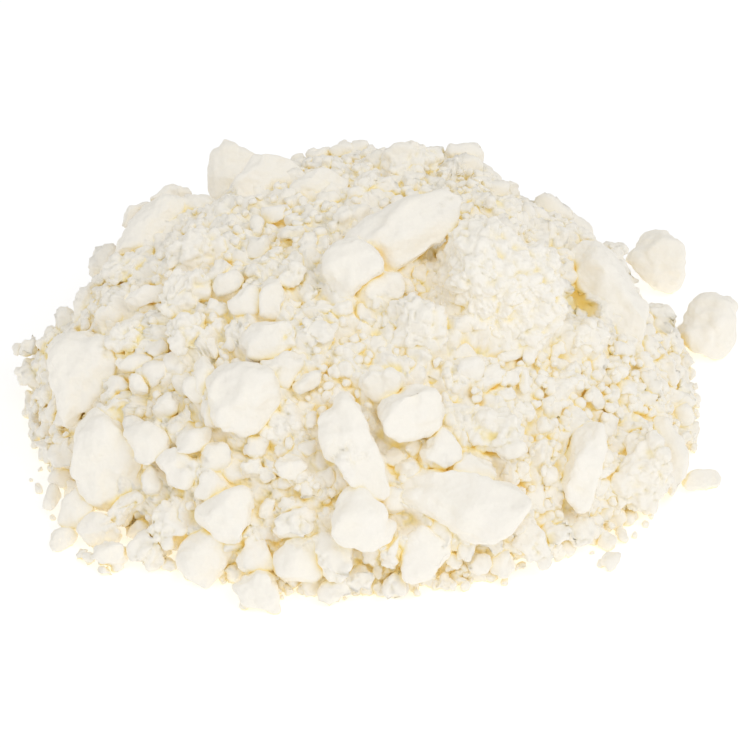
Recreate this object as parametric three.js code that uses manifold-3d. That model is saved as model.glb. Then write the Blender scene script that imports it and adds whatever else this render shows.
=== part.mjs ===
// Crumbled goat cheese: a heap of broken curd, with five lumps lying loose beside it.
// Millimetres, +Z up. The heap rests on the plane z = 0, and -Y faces the viewer.
// The heap is a low rounded core with its lumps fused on. Each lump that shows is a row of a table,
// with its real size and the place where it is seen. The rest of the surface, the back with it,
// is covered by a seeded rule that throws lumps of falling size at the free ground.
import * as THREE from 'three';
import { mergeVertices } from 'three/addons/utils/BufferGeometryUtils.js';
import Module from 'manifold-3d';

const wasm = await Module();
wasm.setup();

// The mound that the lumps lie on
const MOUND = { reachX: 62, reachY: 60, height: 43, fall: 0.6 };
const MOUND_CENTRE = new THREE.Vector3(-3, 2.7, 0);
const CORE_DEPTH = 1.6;
const CORE_SWELL = 0.9;
const CORE_WAVES = { x: 9, y: 8, z: 7 };
const CORE_DETAIL = 6;

// The viewer, who gives each lump its place on the mound
const VIEW = { elevation: 34, distance: 600, aim: new THREE.Vector3(-0.8, 2.3, 6.2) };
const MM_PER_PIXEL = 0.19;
const PICTURE_MIDDLE = 374;
const SIGHT_SPAN = 100;
const SIGHT_STEP = 0.25;

// How a lump is broken: a flat on each of its six sides, leaning a little, and some more at random
const SIDE_LEAN = 0.3;
const SIDE_NEAREST = 0.72;
const SIDE_FURTHEST = 0.9;
const EXTRA_FLATS = 6;
const EXTRA_NEAREST = 0.78;
const EXTRA_FURTHEST = 1.04;
const ROUND_LIMIT = 1.14;
const CRISPNESS = 9;

// How far a lump stands out of the mound, how far down to the ground it may go, and how steeply
// its length may lean from the viewer to lie along the mound
const LIFT_SHARE = 0.22;
const GROUND_SHARE = 0.86;
const MOST_LEAN = 0.6;
const LEAST_FACING = 0.3;

// The shortest lump that is fused on, and the shortest of those that has more than 20 faces
const SHORTEST = 4.8;
const FINE_FROM = 14;
const PLAIN_DETAIL = 0;
const FINE_DETAIL = 1;

// The lumps that cover the rest, from the largest down. The large ones keep to the far side.
const FILL_STEPS = [
  { size: 15, throws: 50, facing: -0.25 },
  { size: 12, throws: 90, facing: -0.2 },
  { size: 9.5, throws: 180, facing: -0.1 },
  { size: 7.5, throws: 330, facing: 0.1 },
  { size: 5.6, throws: 240, facing: 1 },
];
const FILL_SPREAD = 0.15;
const FILL_WIDTH = [0.66, 0.95];
const FILL_DEPTH = [0.6, 0.9];
const FILL_LOWEST = 0.05;
const FILL_CLOSENESS = 0.9;
const FILL_SEED = 7001;
const LOOSE_SEED = 500;

const CHEESE = { color: 0xf2ebda, roughness: 0.85, metalness: 0 };

// Lumps of the heap: where the middle is seen, in pixels of a picture 748 wide and high, then
// length, width and depth in mm, the turn of the length from level in degrees, and any lift in mm.
const CREST = [
  { name: 'ear', seen: [231, 179], size: [14.5, 8, 7], turn: 84, taper: 0.3, lift: 1 },
  { name: 'ear_side', seen: [265, 181], size: [12.5, 11, 9], turn: 25 },
  { name: 'shelf', seen: [318, 184], size: [12, 6.4, 7], turn: -4 },
  { name: 'crest_block_a', seen: [342, 152], size: [4.4, 4, 4], turn: 30 },
  { name: 'crest_block_b', seen: [357, 152], size: [4.6, 3.2, 4], turn: 85 },
  { name: 'crest_block_c', seen: [318, 157], size: [5, 3.2, 4], turn: 5 },
  { name: 'crest_curd_a', seen: [370, 190], size: [10, 6, 6], turn: 8 },
  { name: 'crest_curd_b', seen: [411, 169], size: [11, 9, 8], turn: 20 },
  { name: 'crest_cap', seen: [467, 154], size: [8, 4.6, 5], turn: -6 },
  { name: 'crest_slab', seen: [460, 170], size: [9, 5, 5.5], turn: 4 },
  { name: 'log', seen: [393, 241], size: [29.5, 11, 10.5], turn: 38, taper: 0.12, lift: 4.5 },
];
const LEFT_SHOULDER = [
  { name: 'shoulder', seen: [153, 225], size: [17, 11, 9.5], turn: 50, lift: 1 },
  { name: 'shoulder_end', seen: [133, 214], size: [6, 5.4, 5.5], turn: 60 },
  { name: 'shoulder_gap', seen: [200, 212], size: [6.5, 6, 5.5], turn: 0 },
  { name: 'shoulder_curd_a', seen: [203, 250], size: [11, 8.4, 7], turn: 20 },
  { name: 'shoulder_curd_b', seen: [188, 291], size: [10.4, 9.8, 8], turn: 40 },
  { name: 'shoulder_curd_c', seen: [128, 272], size: [10.6, 6.8, 6.5], turn: 18 },
  { name: 'shoulder_block', seen: [103, 262], size: [6.4, 5.2, 5], turn: 80 },
  { name: 'shoulder_bar', seen: [148, 296], size: [8.2, 4.4, 5], turn: 10 },
  { name: 'shoulder_tip', seen: [85, 303], size: [6.4, 4.4, 5], turn: 78 },
  { name: 'shoulder_foot', seen: [110, 310], size: [10, 7.2, 6.5], turn: 76 },
];
const UPPER_MIDDLE = [
  { name: 'upper_a', seen: [292, 234], size: [5.6, 3.6, 4], turn: 10 },
  { name: 'upper_b', seen: [345, 222], size: [7, 5.4, 5.5], turn: 75 },
  { name: 'upper_c', seen: [292, 277], size: [6.4, 4.8, 5], turn: 88 },
  { name: 'upper_d', seen: [242, 301], size: [6.4, 5.8, 5.5], turn: 20 },
  { name: 'upper_e', seen: [272, 300], size: [7, 4.4, 5], turn: 84 },
  { name: 'upper_f', seen: [226, 282], size: [5.4, 4.4, 4.8], turn: 15 },
  { name: 'upper_g', seen: [384, 293], size: [8, 6.4, 6], turn: 20 },
  { name: 'upper_h', seen: [258, 248], size: [4.8, 4.4, 4.4], turn: 0 },
  { name: 'upper_i', seen: [275, 215], size: [4.8, 3.6, 4], turn: 5 },
];
const RIGHT_BACK = [
  { name: 'dimpled', seen: [499, 213], size: [8, 6.2, 6], turn: 8 },
  { name: 'right_back_a', seen: [548, 208], size: [5.4, 4.6, 4.8], turn: 70 },
  { name: 'right_back_b', seen: [553, 234], size: [7.2, 5, 5.5], turn: -12 },
  { name: 'right_back_c', seen: [526, 220], size: [4.6, 4, 4.4], turn: 50 },
  { name: 'right_back_d', seen: [497, 191], size: [5, 3.6, 4], turn: 0 },
  { name: 'curd_mass', seen: [506, 286], size: [24, 20.5, 14], turn: 78, lift: 2.5 },
  { name: 'hollow_wall', seen: [611, 288], size: [27, 13, 15], turn: -62, lift: 1 },
  { name: 'hollow_foot', seen: [602, 330], size: [14, 9, 10], turn: 0 },
  { name: 'right_back_e', seen: [650, 314], size: [7, 5.2, 5.5], turn: -20 },
  { name: 'right_back_f', seen: [584, 247], size: [9, 6, 6], turn: -40 },
];
const FAR_LEFT = [
  { name: 'far_left_finger', seen: [65, 320], size: [6.4, 3.8, 4.2], turn: 84 },
  { name: 'far_left_ridge', seen: [48, 357], size: [10.6, 4.6, 5.5], turn: 84 },
  { name: 'far_left_lump', seen: [34, 373], size: [7.6, 7, 7], turn: 20 },
  { name: 'far_left_nub', seen: [25, 345], size: [5, 3.6, 4], turn: 40 },
  { name: 'boulder_high', seen: [84, 377], size: [16.8, 12.8, 12], turn: 84, taper: 0.3, lift: 2 },
  { name: 'boulder_low', seen: [104, 459], size: [19.4, 10.8, 11], turn: 112, lift: 2 },
  { name: 'far_left_low', seen: [66, 453], size: [6.4, 5.6, 5.5], turn: 70 },
];
const LEFT_MIDDLE = [
  { name: 'left_curd_a', seen: [131, 342], size: [7.8, 6.6, 6], turn: 15 },
  { name: 'left_curd_b', seen: [188, 332], size: [8.4, 8, 7], turn: 0 },
  { name: 'left_c', seen: [133, 363], size: [5.8, 3.6, 4], turn: -5 },
  { name: 'left_d', seen: [114, 389], size: [5.4, 5.2, 5], turn: 0 },
  { name: 'left_e', seen: [118, 411], size: [6, 5, 5], turn: 10 },
  { name: 'left_f', seen: [140, 382], size: [5.2, 4.2, 4.4], turn: 30 },
  { name: 'left_g', seen: [163, 403], size: [5.8, 5.2, 5], turn: 60 },
  { name: 'left_h', seen: [194, 388], size: [5.8, 4.2, 4.6], turn: 88 },
  { name: 'left_wedge', seen: [152, 440], size: [8.6, 7.6, 7], turn: 60, lift: 2 },
  { name: 'left_j', seen: [195, 443], size: [7.2, 5.2, 5.5], turn: -10 },
  { name: 'left_k', seen: [178, 470], size: [8.8, 7.6, 7], turn: 80 },
];
const MIDDLE = [
  { name: 'flat_slab', seen: [270, 340], size: [11, 7.6, 5.5], turn: 12 },
  { name: 'middle_a', seen: [315, 333], size: [7.2, 5.6, 5.5], turn: 0 },
  { name: 'middle_bar', seen: [330, 311], size: [10, 3.8, 4.4], turn: 6 },
  { name: 'pale_lump', seen: [243, 398], size: [13, 12, 9.5], turn: 70, lift: 3 },
  { name: 'middle_c', seen: [281, 368], size: [7.2, 5.4, 5.4], turn: -8 },
  { name: 'middle_d', seen: [205, 378], size: [7.4, 4.4, 5], turn: 86 },
  { name: 'middle_e', seen: [206, 412], size: [6, 3.8, 4.4], turn: 84 },
  { name: 'middle_f', seen: [308, 381], size: [5, 3.8, 4.2], turn: 0 },
  { name: 'finger', seen: [352, 447], size: [20.5, 8.4, 8], turn: -66, lift: 3.5 },
  { name: 'middle_curd', seen: [420, 325], size: [11, 10.6, 8.5], turn: 0 },
  { name: 'middle_g', seen: [388, 377], size: [9, 7.8, 6.5], turn: -20 },
  { name: 'pillow', seen: [408, 413], size: [12.6, 9.8, 8.5], turn: 25, lift: 3 },
  { name: 'middle_h', seen: [460, 324], size: [5, 4.2, 4.4], turn: 0 },
  { name: 'middle_i', seen: [467, 371], size: [5.4, 4.6, 4.6], turn: 0 },
  { name: 'middle_j', seen: [497, 440], size: [9, 8.8, 7.5], turn: 0 },
  { name: 'middle_k', seen: [441, 452], size: [7.2, 6.8, 6.2], turn: 30 },
];
const RIGHT_EDGE = [
  { name: 'right_a', seen: [683, 363], size: [5.6, 4.4, 4.6], turn: 80 },
  { name: 'right_b', seen: [680, 393], size: [6.2, 6, 5.8], turn: 0 },
  { name: 'right_c', seen: [681, 414], size: [5.4, 4.6, 4.8], turn: 0 },
  { name: 'right_d', seen: [650, 385], size: [7, 4.2, 5], turn: 84 },
  { name: 'right_e', seen: [667, 368], size: [5.8, 5, 5], turn: 70 },
  { name: 'curd_block', seen: [649, 463], size: [19, 16.5, 14], turn: 78, lift: 2 },
  { name: 'upright_block', seen: [584, 467], size: [16.6, 8.4, 9.5], turn: 82, lift: 2.5 },
];
const LOWER_LEFT = [
  { name: 'low_left_a', seen: [62, 477], size: [5.8, 3.8, 4.4], turn: 10 },
  { name: 'low_left_b', seen: [51, 497], size: [5.6, 3.6, 4.4], turn: 80 },
  { name: 'low_left_c', seen: [78, 508], size: [8.4, 7, 6.6], turn: 76 },
  { name: 'low_left_d', seen: [98, 530], size: [8, 6.6, 6.4], turn: -20 },
  { name: 'low_left_e', seen: [109, 552], size: [6.6, 5.2, 5.2], turn: 10 },
  { name: 'low_left_f', seen: [125, 507], size: [8, 7.2, 6.6], turn: 20 },
  { name: 'low_left_g', seen: [172, 519], size: [10.8, 8, 7.6], turn: 94, lift: 1 },
  { name: 'low_left_h', seen: [145, 551], size: [7, 6.4, 6], turn: 0 },
  { name: 'low_left_i', seen: [207, 552], size: [11, 10.2, 9], turn: 20, lift: 1 },
  { name: 'low_left_j', seen: [150, 476], size: [5.2, 4.2, 4.4], turn: 80 },
];
const LOWER_MIDDLE = [
  { name: 'low_a', seen: [215, 455], size: [5.8, 5.6, 5.2], turn: 0 },
  { name: 'low_b', seen: [210, 485], size: [7, 6, 5.6], turn: 80 },
  { name: 'round_lump', seen: [232, 513], size: [11.2, 10.2, 8.5], turn: 10, lift: 2.5 },
  { name: 'low_c', seen: [255, 553], size: [7.6, 6, 6], turn: 84 },
  { name: 'low_d', seen: [297, 557], size: [8.4, 8.2, 7], turn: 0 },
  { name: 'low_e', seen: [295, 520], size: [7.6, 6.6, 6.2], turn: 0 },
  { name: 'low_f', seen: [332, 555], size: [9, 8.2, 7.4], turn: 20 },
  { name: 'proud_lump', seen: [366, 518], size: [12, 10.4, 9.5], turn: 76, lift: 2.5 },
  { name: 'low_g', seen: [360, 577], size: [5.4, 4.4, 4.4], turn: 0 },
  { name: 'low_h', seen: [333, 587], size: [6, 4.6, 4.8], turn: 0 },
  { name: 'low_i', seen: [290, 465], size: [6.6, 4.8, 4.8], turn: 0 },
];
const LOWER_RIGHT = [
  { name: 'smooth_slab', seen: [462, 503], size: [22.4, 12.2, 11], turn: 3, lift: 2.5 },
  { name: 'smooth_cap', seen: [473, 467], size: [8.4, 6, 6.4], turn: 0 },
  { name: 'low_j', seen: [395, 500], size: [5, 4.6, 4.8], turn: 0 },
  { name: 'low_k', seen: [420, 552], size: [12, 9, 8.4], turn: 78, lift: 1 },
  { name: 'low_l', seen: [441, 535], size: [6, 3.8, 4.6], turn: 76 },
  { name: 'low_m', seen: [393, 550], size: [7.6, 4.6, 5.2], turn: 84 },
  { name: 'low_n', seen: [396, 582], size: [5.4, 4.4, 4.6], turn: 80 },
  { name: 'low_o', seen: [467, 547], size: [5.4, 3.8, 4.4], turn: 80 },
  { name: 'low_p', seen: [479, 563], size: [4.8, 3.8, 4.2], turn: 0 },
  { name: 'low_q', seen: [505, 564], size: [5.4, 5.2, 5], turn: 0 },
  { name: 'low_r', seen: [532, 544], size: [10.4, 7.6, 7.2], turn: 116, lift: 1 },
  { name: 'low_s', seen: [552, 533], size: [5.8, 5.2, 5.2], turn: 0 },
  { name: 'low_t', seen: [580, 529], size: [7.2, 5.2, 5.4], turn: 84 },
];
const HEAP_LUMPS = [
  ...CREST, ...LEFT_SHOULDER, ...UPPER_MIDDLE, ...RIGHT_BACK, ...FAR_LEFT, ...LEFT_MIDDLE,
  ...MIDDLE, ...RIGHT_EDGE, ...LOWER_LEFT, ...LOWER_MIDDLE, ...LOWER_RIGHT,
];

// Lumps that lie by themselves on the ground
const LOOSE_LUMPS = [
  { name: 'loose_upper_right', seen: [655, 262], size: [12.6, 11.4, 10.5], turn: 10 },
  { name: 'loose_right', seen: [705, 327], size: [12.8, 11.4, 10.5], turn: 80 },
  { name: 'loose_low_right', seen: [705, 485], size: [8, 3.8, 4.2], turn: 8 },
  { name: 'loose_low_left', seen: [62, 539], size: [5.2, 3.6, 3.6], turn: -10 },
  { name: 'loose_front', seen: [258, 591], size: [8, 7.2, 6.6], turn: 20 },
];
const REST_FLAT = 0.5;
const LOOSE_GAP = 0.35;

// The scoop that opens the hollow lump at its left
const SCOOP = { seen: [583, 300], size: [11.5, 7.4, 10], turn: -48, lift: 4.5 };

const DEGREE = Math.PI / 180;

function draws(seed) {
  const range = 4294967296;
  let state = (seed * 2654435761) % range;
  return () => {
    state = (state * 1664525 + 1013904223) % range;
    return state / range;
  };
}

function between(draw, low, high) {
  return low + (high - low) * draw();
}

function anyDirection(draw) {
  const z = between(draw, -1, 1);
  const around = between(draw, 0, 2 * Math.PI);
  const flat = Math.sqrt(1 - z * z);
  return new THREE.Vector3(flat * Math.cos(around), flat * Math.sin(around), z);
}

// How far a point is outside the mound's surface: 0 on it, below 0 inside
function outside(point) {
  const across = (point.x - MOUND_CENTRE.x) / MOUND.reachX;
  const along = (point.y - MOUND_CENTRE.y) / MOUND.reachY;
  const high = Math.max(point.z, 0) / MOUND.height;
  return across * across + along * along + high ** (1 / MOUND.fall) - 1;
}

// The mound's surface over a place in plan, which is given from -1 to 1 each way
function moundPoint(across, along) {
  const high = Math.max(0, 1 - across * across - along * along) ** MOUND.fall;
  return new THREE.Vector3(
    MOUND_CENTRE.x + MOUND.reachX * across,
    MOUND_CENTRE.y + MOUND.reachY * along,
    MOUND.height * high,
  );
}

function moundNormal(point) {
  const step = 0.01;
  const here = outside(point);
  const slope = (x, y, z) => outside(point.clone().add(new THREE.Vector3(x, y, z))) - here;
  return new THREE.Vector3(slope(step, 0, 0), slope(0, step, 0), slope(0, 0, step)).normalize();
}

// The viewer's right, up and back, and where the eye is
function viewer() {
  const elevation = VIEW.elevation * DEGREE;
  const right = new THREE.Vector3(1, 0, 0);
  const up = new THREE.Vector3(0, Math.sin(elevation), Math.cos(elevation));
  const back = new THREE.Vector3(0, -Math.cos(elevation), Math.sin(elevation));
  const eye = VIEW.aim.clone().addScaledVector(back, VIEW.distance);
  return { right, up, back, eye };
}

const EYE = viewer();

function sightLine([column, row]) {
  const spread = MM_PER_PIXEL / VIEW.distance;
  return EYE.back.clone().negate()
    .addScaledVector(EYE.right, (column - PICTURE_MIDDLE) * spread)
    .addScaledVector(EYE.up, (PICTURE_MIDDLE - row) * spread)
    .normalize();
}

// Where a line of sight first meets the mound, or passes it most closely
function seenOnMound(pixel) {
  const line = sightLine(pixel);
  const at = (reach) => EYE.eye.clone().addScaledVector(line, reach);
  let nearest = VIEW.distance;
  let least = Infinity;
  for (let past = -SIGHT_SPAN; past < SIGHT_SPAN && least > 0; past += SIGHT_STEP) {
    const gap = outside(at(VIEW.distance + past));
    if (gap < least) {
      least = gap;
      nearest = VIEW.distance + past;
    }
  }
  return at(nearest);
}

// A lump's own axes, with its length turned from level in the viewer's picture. A lean above 0
// brings the far end of the length nearer to the viewer.
function seenAxes(turn, lean) {
  const angle = turn * DEGREE;
  const length = EYE.right.clone().multiplyScalar(Math.cos(angle))
    .addScaledVector(EYE.up, Math.sin(angle))
    .addScaledVector(EYE.back, lean)
    .normalize();
  const width = EYE.back.clone().cross(length).normalize();
  return new THREE.Matrix4().makeBasis(length, width, length.clone().cross(width));
}

// The lean that lays a lump's length along the mound
function leanOnMound(turn, normal) {
  const facing = normal.dot(EYE.back);
  if (facing < LEAST_FACING) return 0;
  const rise = Math.cos(turn * DEGREE) * normal.dot(EYE.right)
    + Math.sin(turn * DEGREE) * normal.dot(EYE.up);
  return THREE.MathUtils.clamp(-rise / facing, -MOST_LEAN, MOST_LEAN);
}

// A lump's axes where it lies on the mound, out of the viewer's picture
function lyingAxes(normal, draw) {
  const length = anyDirection(draw).cross(normal).normalize();
  const width = normal.clone().cross(length);
  return new THREE.Matrix4().makeBasis(length, width, normal);
}

// How low a lump's middle may be, so that the ground cuts off little of it
function lowestFor({ size, axes }) {
  const rise = [2, 6, 10].map((row, k) => axes.elements[row] * size[k]);
  return (GROUND_SHARE * Math.hypot(...rise)) / 2;
}

function closed(geometry) {
  geometry.deleteAttribute('normal');
  geometry.deleteAttribute('uv');
  return mergeVertices(geometry, 0.0001);
}

function brokenFlats(draw) {
  const flats = [];
  for (const axis of ['x', 'y', 'z']) {
    for (const side of [-1, 1]) {
      const facing = anyDirection(draw).multiplyScalar(SIDE_LEAN);
      facing[axis] += side;
      flats.push({ facing: facing.normalize(), reach: between(draw, SIDE_NEAREST, SIDE_FURTHEST) });
    }
  }
  for (let i = 0; i < EXTRA_FLATS; i += 1) {
    flats.push({ facing: anyDirection(draw), reach: between(draw, EXTRA_NEAREST, EXTRA_FURTHEST) });
  }
  return flats;
}

// A rounded ball cut back by flats, where the curd broke, and drawn out to its size.
// A taper makes it wider towards the end of its length.
function brokenBall(size, taper, detail, draw) {
  const flats = brokenFlats(draw);
  const geometry = closed(new THREE.IcosahedronGeometry(1, detail));
  const places = geometry.getAttribute('position');
  const place = new THREE.Vector3();
  for (let i = 0; i < places.count; i += 1) {
    place.fromBufferAttribute(places, i).normalize();
    let sum = ROUND_LIMIT ** -CRISPNESS;
    for (const { facing, reach } of flats) {
      sum += (Math.max(0, place.dot(facing)) / reach) ** CRISPNESS;
    }
    place.multiplyScalar(sum ** (-1 / CRISPNESS));
    const widen = 1 + taper * place.x;
    places.setXYZ(i, place.x, place.y * widen, place.z * widen);
  }
  geometry.center();
  geometry.computeBoundingBox();
  const drawn = geometry.boundingBox.getSize(new THREE.Vector3());
  geometry.scale(size[0] / drawn.x, size[1] / drawn.y, size[2] / drawn.z);
  return geometry;
}

function solidOf(geometry) {
  const vertProperties = new Float32Array(geometry.getAttribute('position').array);
  const triVerts = new Uint32Array(geometry.index.array);
  return new wasm.Manifold(new wasm.Mesh({ numProp: 3, vertProperties, triVerts }));
}

function geometryOf(solid) {
  const { vertProperties, triVerts } = solid.getMesh();
  const geometry = new THREE.BufferGeometry();
  geometry.setAttribute('position', new THREE.BufferAttribute(vertProperties, 3));
  geometry.setIndex(new THREE.BufferAttribute(triVerts, 1));
  return geometry;
}

// A lump of the table, on the mound where it is seen
function heapLump(row, index) {
  const draw = draws(index + 1);
  const lift = row.lift ?? LIFT_SHARE * row.size[2];
  const line = sightLine(row.seen);
  const centre = seenOnMound(row.seen);
  const lean = leanOnMound(row.turn, moundNormal(centre));
  const axes = seenAxes(row.turn, lean);
  const [long, wide, deep] = row.size;
  const size = [long * Math.hypot(1, lean), wide, deep];
  centre.addScaledVector(line, -lift);
  const lump = { size, taper: row.taper ?? 0, centre, axes, draw };
  const short = lowestFor(lump) - centre.z;
  if (short > 0) centre.addScaledVector(line, short / line.z);
  return lump;
}

// Whether a new lump would lie too much in one that is there
function crowds(lump, centre, radius) {
  const away = centre.clone().sub(lump.centre).applyMatrix4(lump.axes.clone().transpose());
  const share = new THREE.Vector3(
    away.x / (lump.size[0] / 2 + radius),
    away.y / (lump.size[1] / 2 + radius),
    away.z / (lump.size[2] / 2 + radius),
  );
  return share.length() < FILL_CLOSENESS;
}

// Lumps of falling size wherever the mound is still bare
function fillLumps(there) {
  const draw = draws(FILL_SEED);
  const all = [...there];
  for (const { size, throws, facing } of FILL_STEPS) {
    for (let i = 0; i < throws; i += 1) {
      const around = between(draw, 0, 2 * Math.PI);
      const high = between(draw, FILL_LOWEST, 1);
      const out = Math.sqrt(1 - high * high);
      const centre = moundPoint(out * Math.cos(around), out * Math.sin(around));
      const long = size * between(draw, 1 - FILL_SPREAD, 1 + FILL_SPREAD);
      const wide = long * between(draw, ...FILL_WIDTH);
      const deep = long * between(draw, ...FILL_DEPTH);
      const seed = FILL_SEED + 1 + all.length;
      const normal = moundNormal(centre);
      if (normal.dot(EYE.back) > facing) continue;
      if (all.some((lump) => crowds(lump, centre, wide / 2))) continue;
      const own = draws(seed);
      const axes = lyingAxes(normal, own);
      const lump = { size: [long, wide, deep], taper: 0, centre, axes, draw: own };
      centre.z = Math.max(centre.z, lowestFor(lump));
      all.push(lump);
    }
  }
  return all.slice(there.length);
}

function lumpSolid({ size, taper, centre, axes, draw }) {
  const detail = size[0] >= FINE_FROM ? FINE_DETAIL : PLAIN_DETAIL;
  const geometry = brokenBall(size, taper, detail, draw);
  geometry.applyMatrix4(axes);
  geometry.translate(centre.x, centre.y, centre.z);
  return solidOf(geometry);
}

// The mound under the lumps, a little smaller, with slow swells
function coreSolid() {
  const geometry = closed(new THREE.IcosahedronGeometry(1, CORE_DETAIL));
  const places = geometry.getAttribute('position');
  const place = new THREE.Vector3();
  for (let i = 0; i < places.count; i += 1) {
    place.fromBufferAttribute(places, i).normalize();
    const swell = Math.sin(CORE_WAVES.x * place.x) * Math.sin(CORE_WAVES.y * place.y)
      * Math.sin(CORE_WAVES.z * place.z);
    const inset = CORE_DEPTH + CORE_SWELL * swell;
    const high = Math.sign(place.z) * Math.abs(place.z) ** (2 * MOUND.fall);
    places.setXYZ(
      i,
      MOUND_CENTRE.x + (MOUND.reachX - inset) * place.x,
      MOUND_CENTRE.y + (MOUND.reachY - inset) * place.y,
      (MOUND.height - inset) * high,
    );
  }
  return solidOf(geometry);
}

// Everything above the ground, as a solid to cut with
function aboveGround() {
  const side = 400;
  const box = closed(new THREE.BoxGeometry(side, side, side));
  box.translate(0, 0, side / 2);
  return solidOf(box);
}

// The largest body alone: loose scraps go, and a gap shut in by its lumps is filled
function oneBody(solid) {
  const bodies = solid.decompose();
  bodies.sort((a, b) => b.volume() - a.volume());
  return bodies[0];
}

function scoopSolid() {
  const { size, seen, turn, lift } = SCOOP;
  const geometry = closed(new THREE.IcosahedronGeometry(0.5, 2));
  geometry.scale(...size);
  geometry.applyMatrix4(seenAxes(turn, 0));
  const centre = seenOnMound(seen).addScaledVector(sightLine(seen), -lift);
  geometry.translate(centre.x, centre.y, centre.z);
  return solidOf(geometry);
}

// A lump on the ground where it is seen, pressed a little flat beneath. Room makes it larger.
function looseSolid(row, index, room) {
  const draw = draws(LOOSE_SEED + index);
  const geometry = brokenBall(row.size, 0, FINE_DETAIL, draw);
  geometry.applyMatrix4(seenAxes(row.turn, 0));
  geometry.computeBoundingBox();
  const middleHeight = -geometry.boundingBox.min.z - REST_FLAT;
  const grown = 1 + (2 * room) / Math.min(...row.size);
  geometry.scale(grown, grown, grown);
  const line = sightLine(row.seen);
  const reach = (middleHeight - EYE.eye.z) / line.z;
  const centre = EYE.eye.clone().addScaledVector(line, reach);
  geometry.translate(centre.x, centre.y, centre.z);
  return solidOf(geometry).intersect(aboveGround());
}

function heapGeometry() {
  const shown = HEAP_LUMPS.map(heapLump);
  const lumps = [...shown, ...fillLumps(shown)].filter(({ size }) => size[0] >= SHORTEST);
  let heap = coreSolid();
  for (const lump of lumps) heap = heap.add(lumpSolid(lump));
  heap = heap.subtract(scoopSolid()).intersect(aboveGround());
  LOOSE_LUMPS.forEach((row, index) => {
    heap = heap.subtract(looseSolid(row, index, LOOSE_GAP));
  });
  return geometryOf(oneBody(heap));
}

function cheeseMesh(name, geometry) {
  geometry.computeVertexNormals();
  const mesh = new THREE.Mesh(geometry, new THREE.MeshStandardMaterial(CHEESE));
  mesh.name = name;
  return mesh;
}

const cheese = new THREE.Group();
cheese.add(cheeseMesh('heap', heapGeometry()));
LOOSE_LUMPS.forEach((row, index) => {
  cheese.add(cheeseMesh(row.name, geometryOf(looseSolid(row, index, 0))));
});

export default cheese;
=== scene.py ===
"""Crumbled goat cheese: a low heap of broken curd, with a few lumps and crumbs lying loose.

Lengths are millimetres until a mesh is made, and metres in Blender. +Z is up, and -Y faces the
viewer. The heap is a bed of curd with its lumps and crumbs lying on it, each a closed mesh of its
own, joined into one piece for each kind.
"""
import math

import bmesh
import bpy
import numpy as np
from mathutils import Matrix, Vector


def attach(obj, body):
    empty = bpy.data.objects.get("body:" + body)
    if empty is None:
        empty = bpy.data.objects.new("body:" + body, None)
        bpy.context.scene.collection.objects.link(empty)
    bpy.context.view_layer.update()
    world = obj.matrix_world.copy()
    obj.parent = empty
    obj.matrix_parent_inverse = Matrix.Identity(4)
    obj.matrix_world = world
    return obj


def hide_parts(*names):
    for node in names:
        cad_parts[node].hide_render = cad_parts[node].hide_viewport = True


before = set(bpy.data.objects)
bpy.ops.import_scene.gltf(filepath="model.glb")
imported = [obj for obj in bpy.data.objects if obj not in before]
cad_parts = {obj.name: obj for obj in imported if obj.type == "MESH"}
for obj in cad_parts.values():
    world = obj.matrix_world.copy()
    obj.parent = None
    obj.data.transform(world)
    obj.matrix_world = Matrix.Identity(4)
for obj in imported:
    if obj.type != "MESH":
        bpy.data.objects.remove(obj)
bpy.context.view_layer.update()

MM = 0.001
CAD_NODES = (
    "heap", "loose_upper_right", "loose_right", "loose_low_right", "loose_low_left", "loose_front",
)

# The viewer, who gives each lump its place
ELEVATION = math.radians(34)
DISTANCE = 600.0
AIM = np.array([-0.8, 2.3, 6.2])
MM_PER_PIXEL = 0.19
PICTURE = 748
PICTURE_MIDDLE = 374
SIGHT_SPAN = 100
SIGHT_STEP = 0.25
RIGHT = np.array([1.0, 0.0, 0.0])
UP = np.array([0.0, math.sin(ELEVATION), math.cos(ELEVATION)])
BACK = np.array([0.0, -math.cos(ELEVATION), math.sin(ELEVATION)])
EYE = AIM + BACK * DISTANCE

# The mound that the lumps lie on, as in the CAD
MOUND_REACH = np.array([62.0, 60.0, 43.0])
MOUND_FALL = 0.6
MOUND_CENTRE = np.array([-3.0, 2.7, 0.0])
NORMAL_STEP = 0.01

# The curd bed between the lumps: how far under the mound it starts, and how far it may rise, in
# steps, until the space is less full than BED_FULL
BED_START = 0.9
BED_MOST = 3.8
BED_STEP = 0.2
BED_FULL = 0.46
LEAST_FALL = 0.01
# How much lower it stays under lumps, from one fullness of their insides over a span of it
BED_UNDER = 2.0
UNDER_FROM = 0.25
UNDER_SPAN = 0.5
# How far it draws in at the foot, and up to what height
FOOT_RECESS = 3.0
FOOT_HEIGHT = 7.0
# The cells along a side of its net, which is closer in front, and the height that is its rim
BED_CUTS = 314
FRONT_SHARE = 0.2
RIM_HEIGHT = 0.001

# How a lump is broken: flats on its six sides, leaning a little, and some more at random
SIDE_LEAN = 0.3
SIDE_REACH = (0.72, 0.9)
EXTRA_FLATS = 6
EXTRA_REACH = (0.78, 1.04)
ROUND_LIMIT = 1.14
CRISPNESS = 9

# How a lump with an outline is broken: flats on the sides of the outline, a ledge on its upper
# left, and leaning faces in front and behind
OUTLINE_GROWTH = 1.08
OUTLINE_CRISPNESS = 10
OUTLINE_LEAN = 0.3
LEDGE = (-0.55, 0.6, 0.58)
LEDGE_SHARE = (0.62, 0.8)
FACES_EACH_SIDE = 3
FACE_LEAN = 0.5
FACE_REACH = (0.8, 1.0)
MOST_CUT = 0.7

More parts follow.
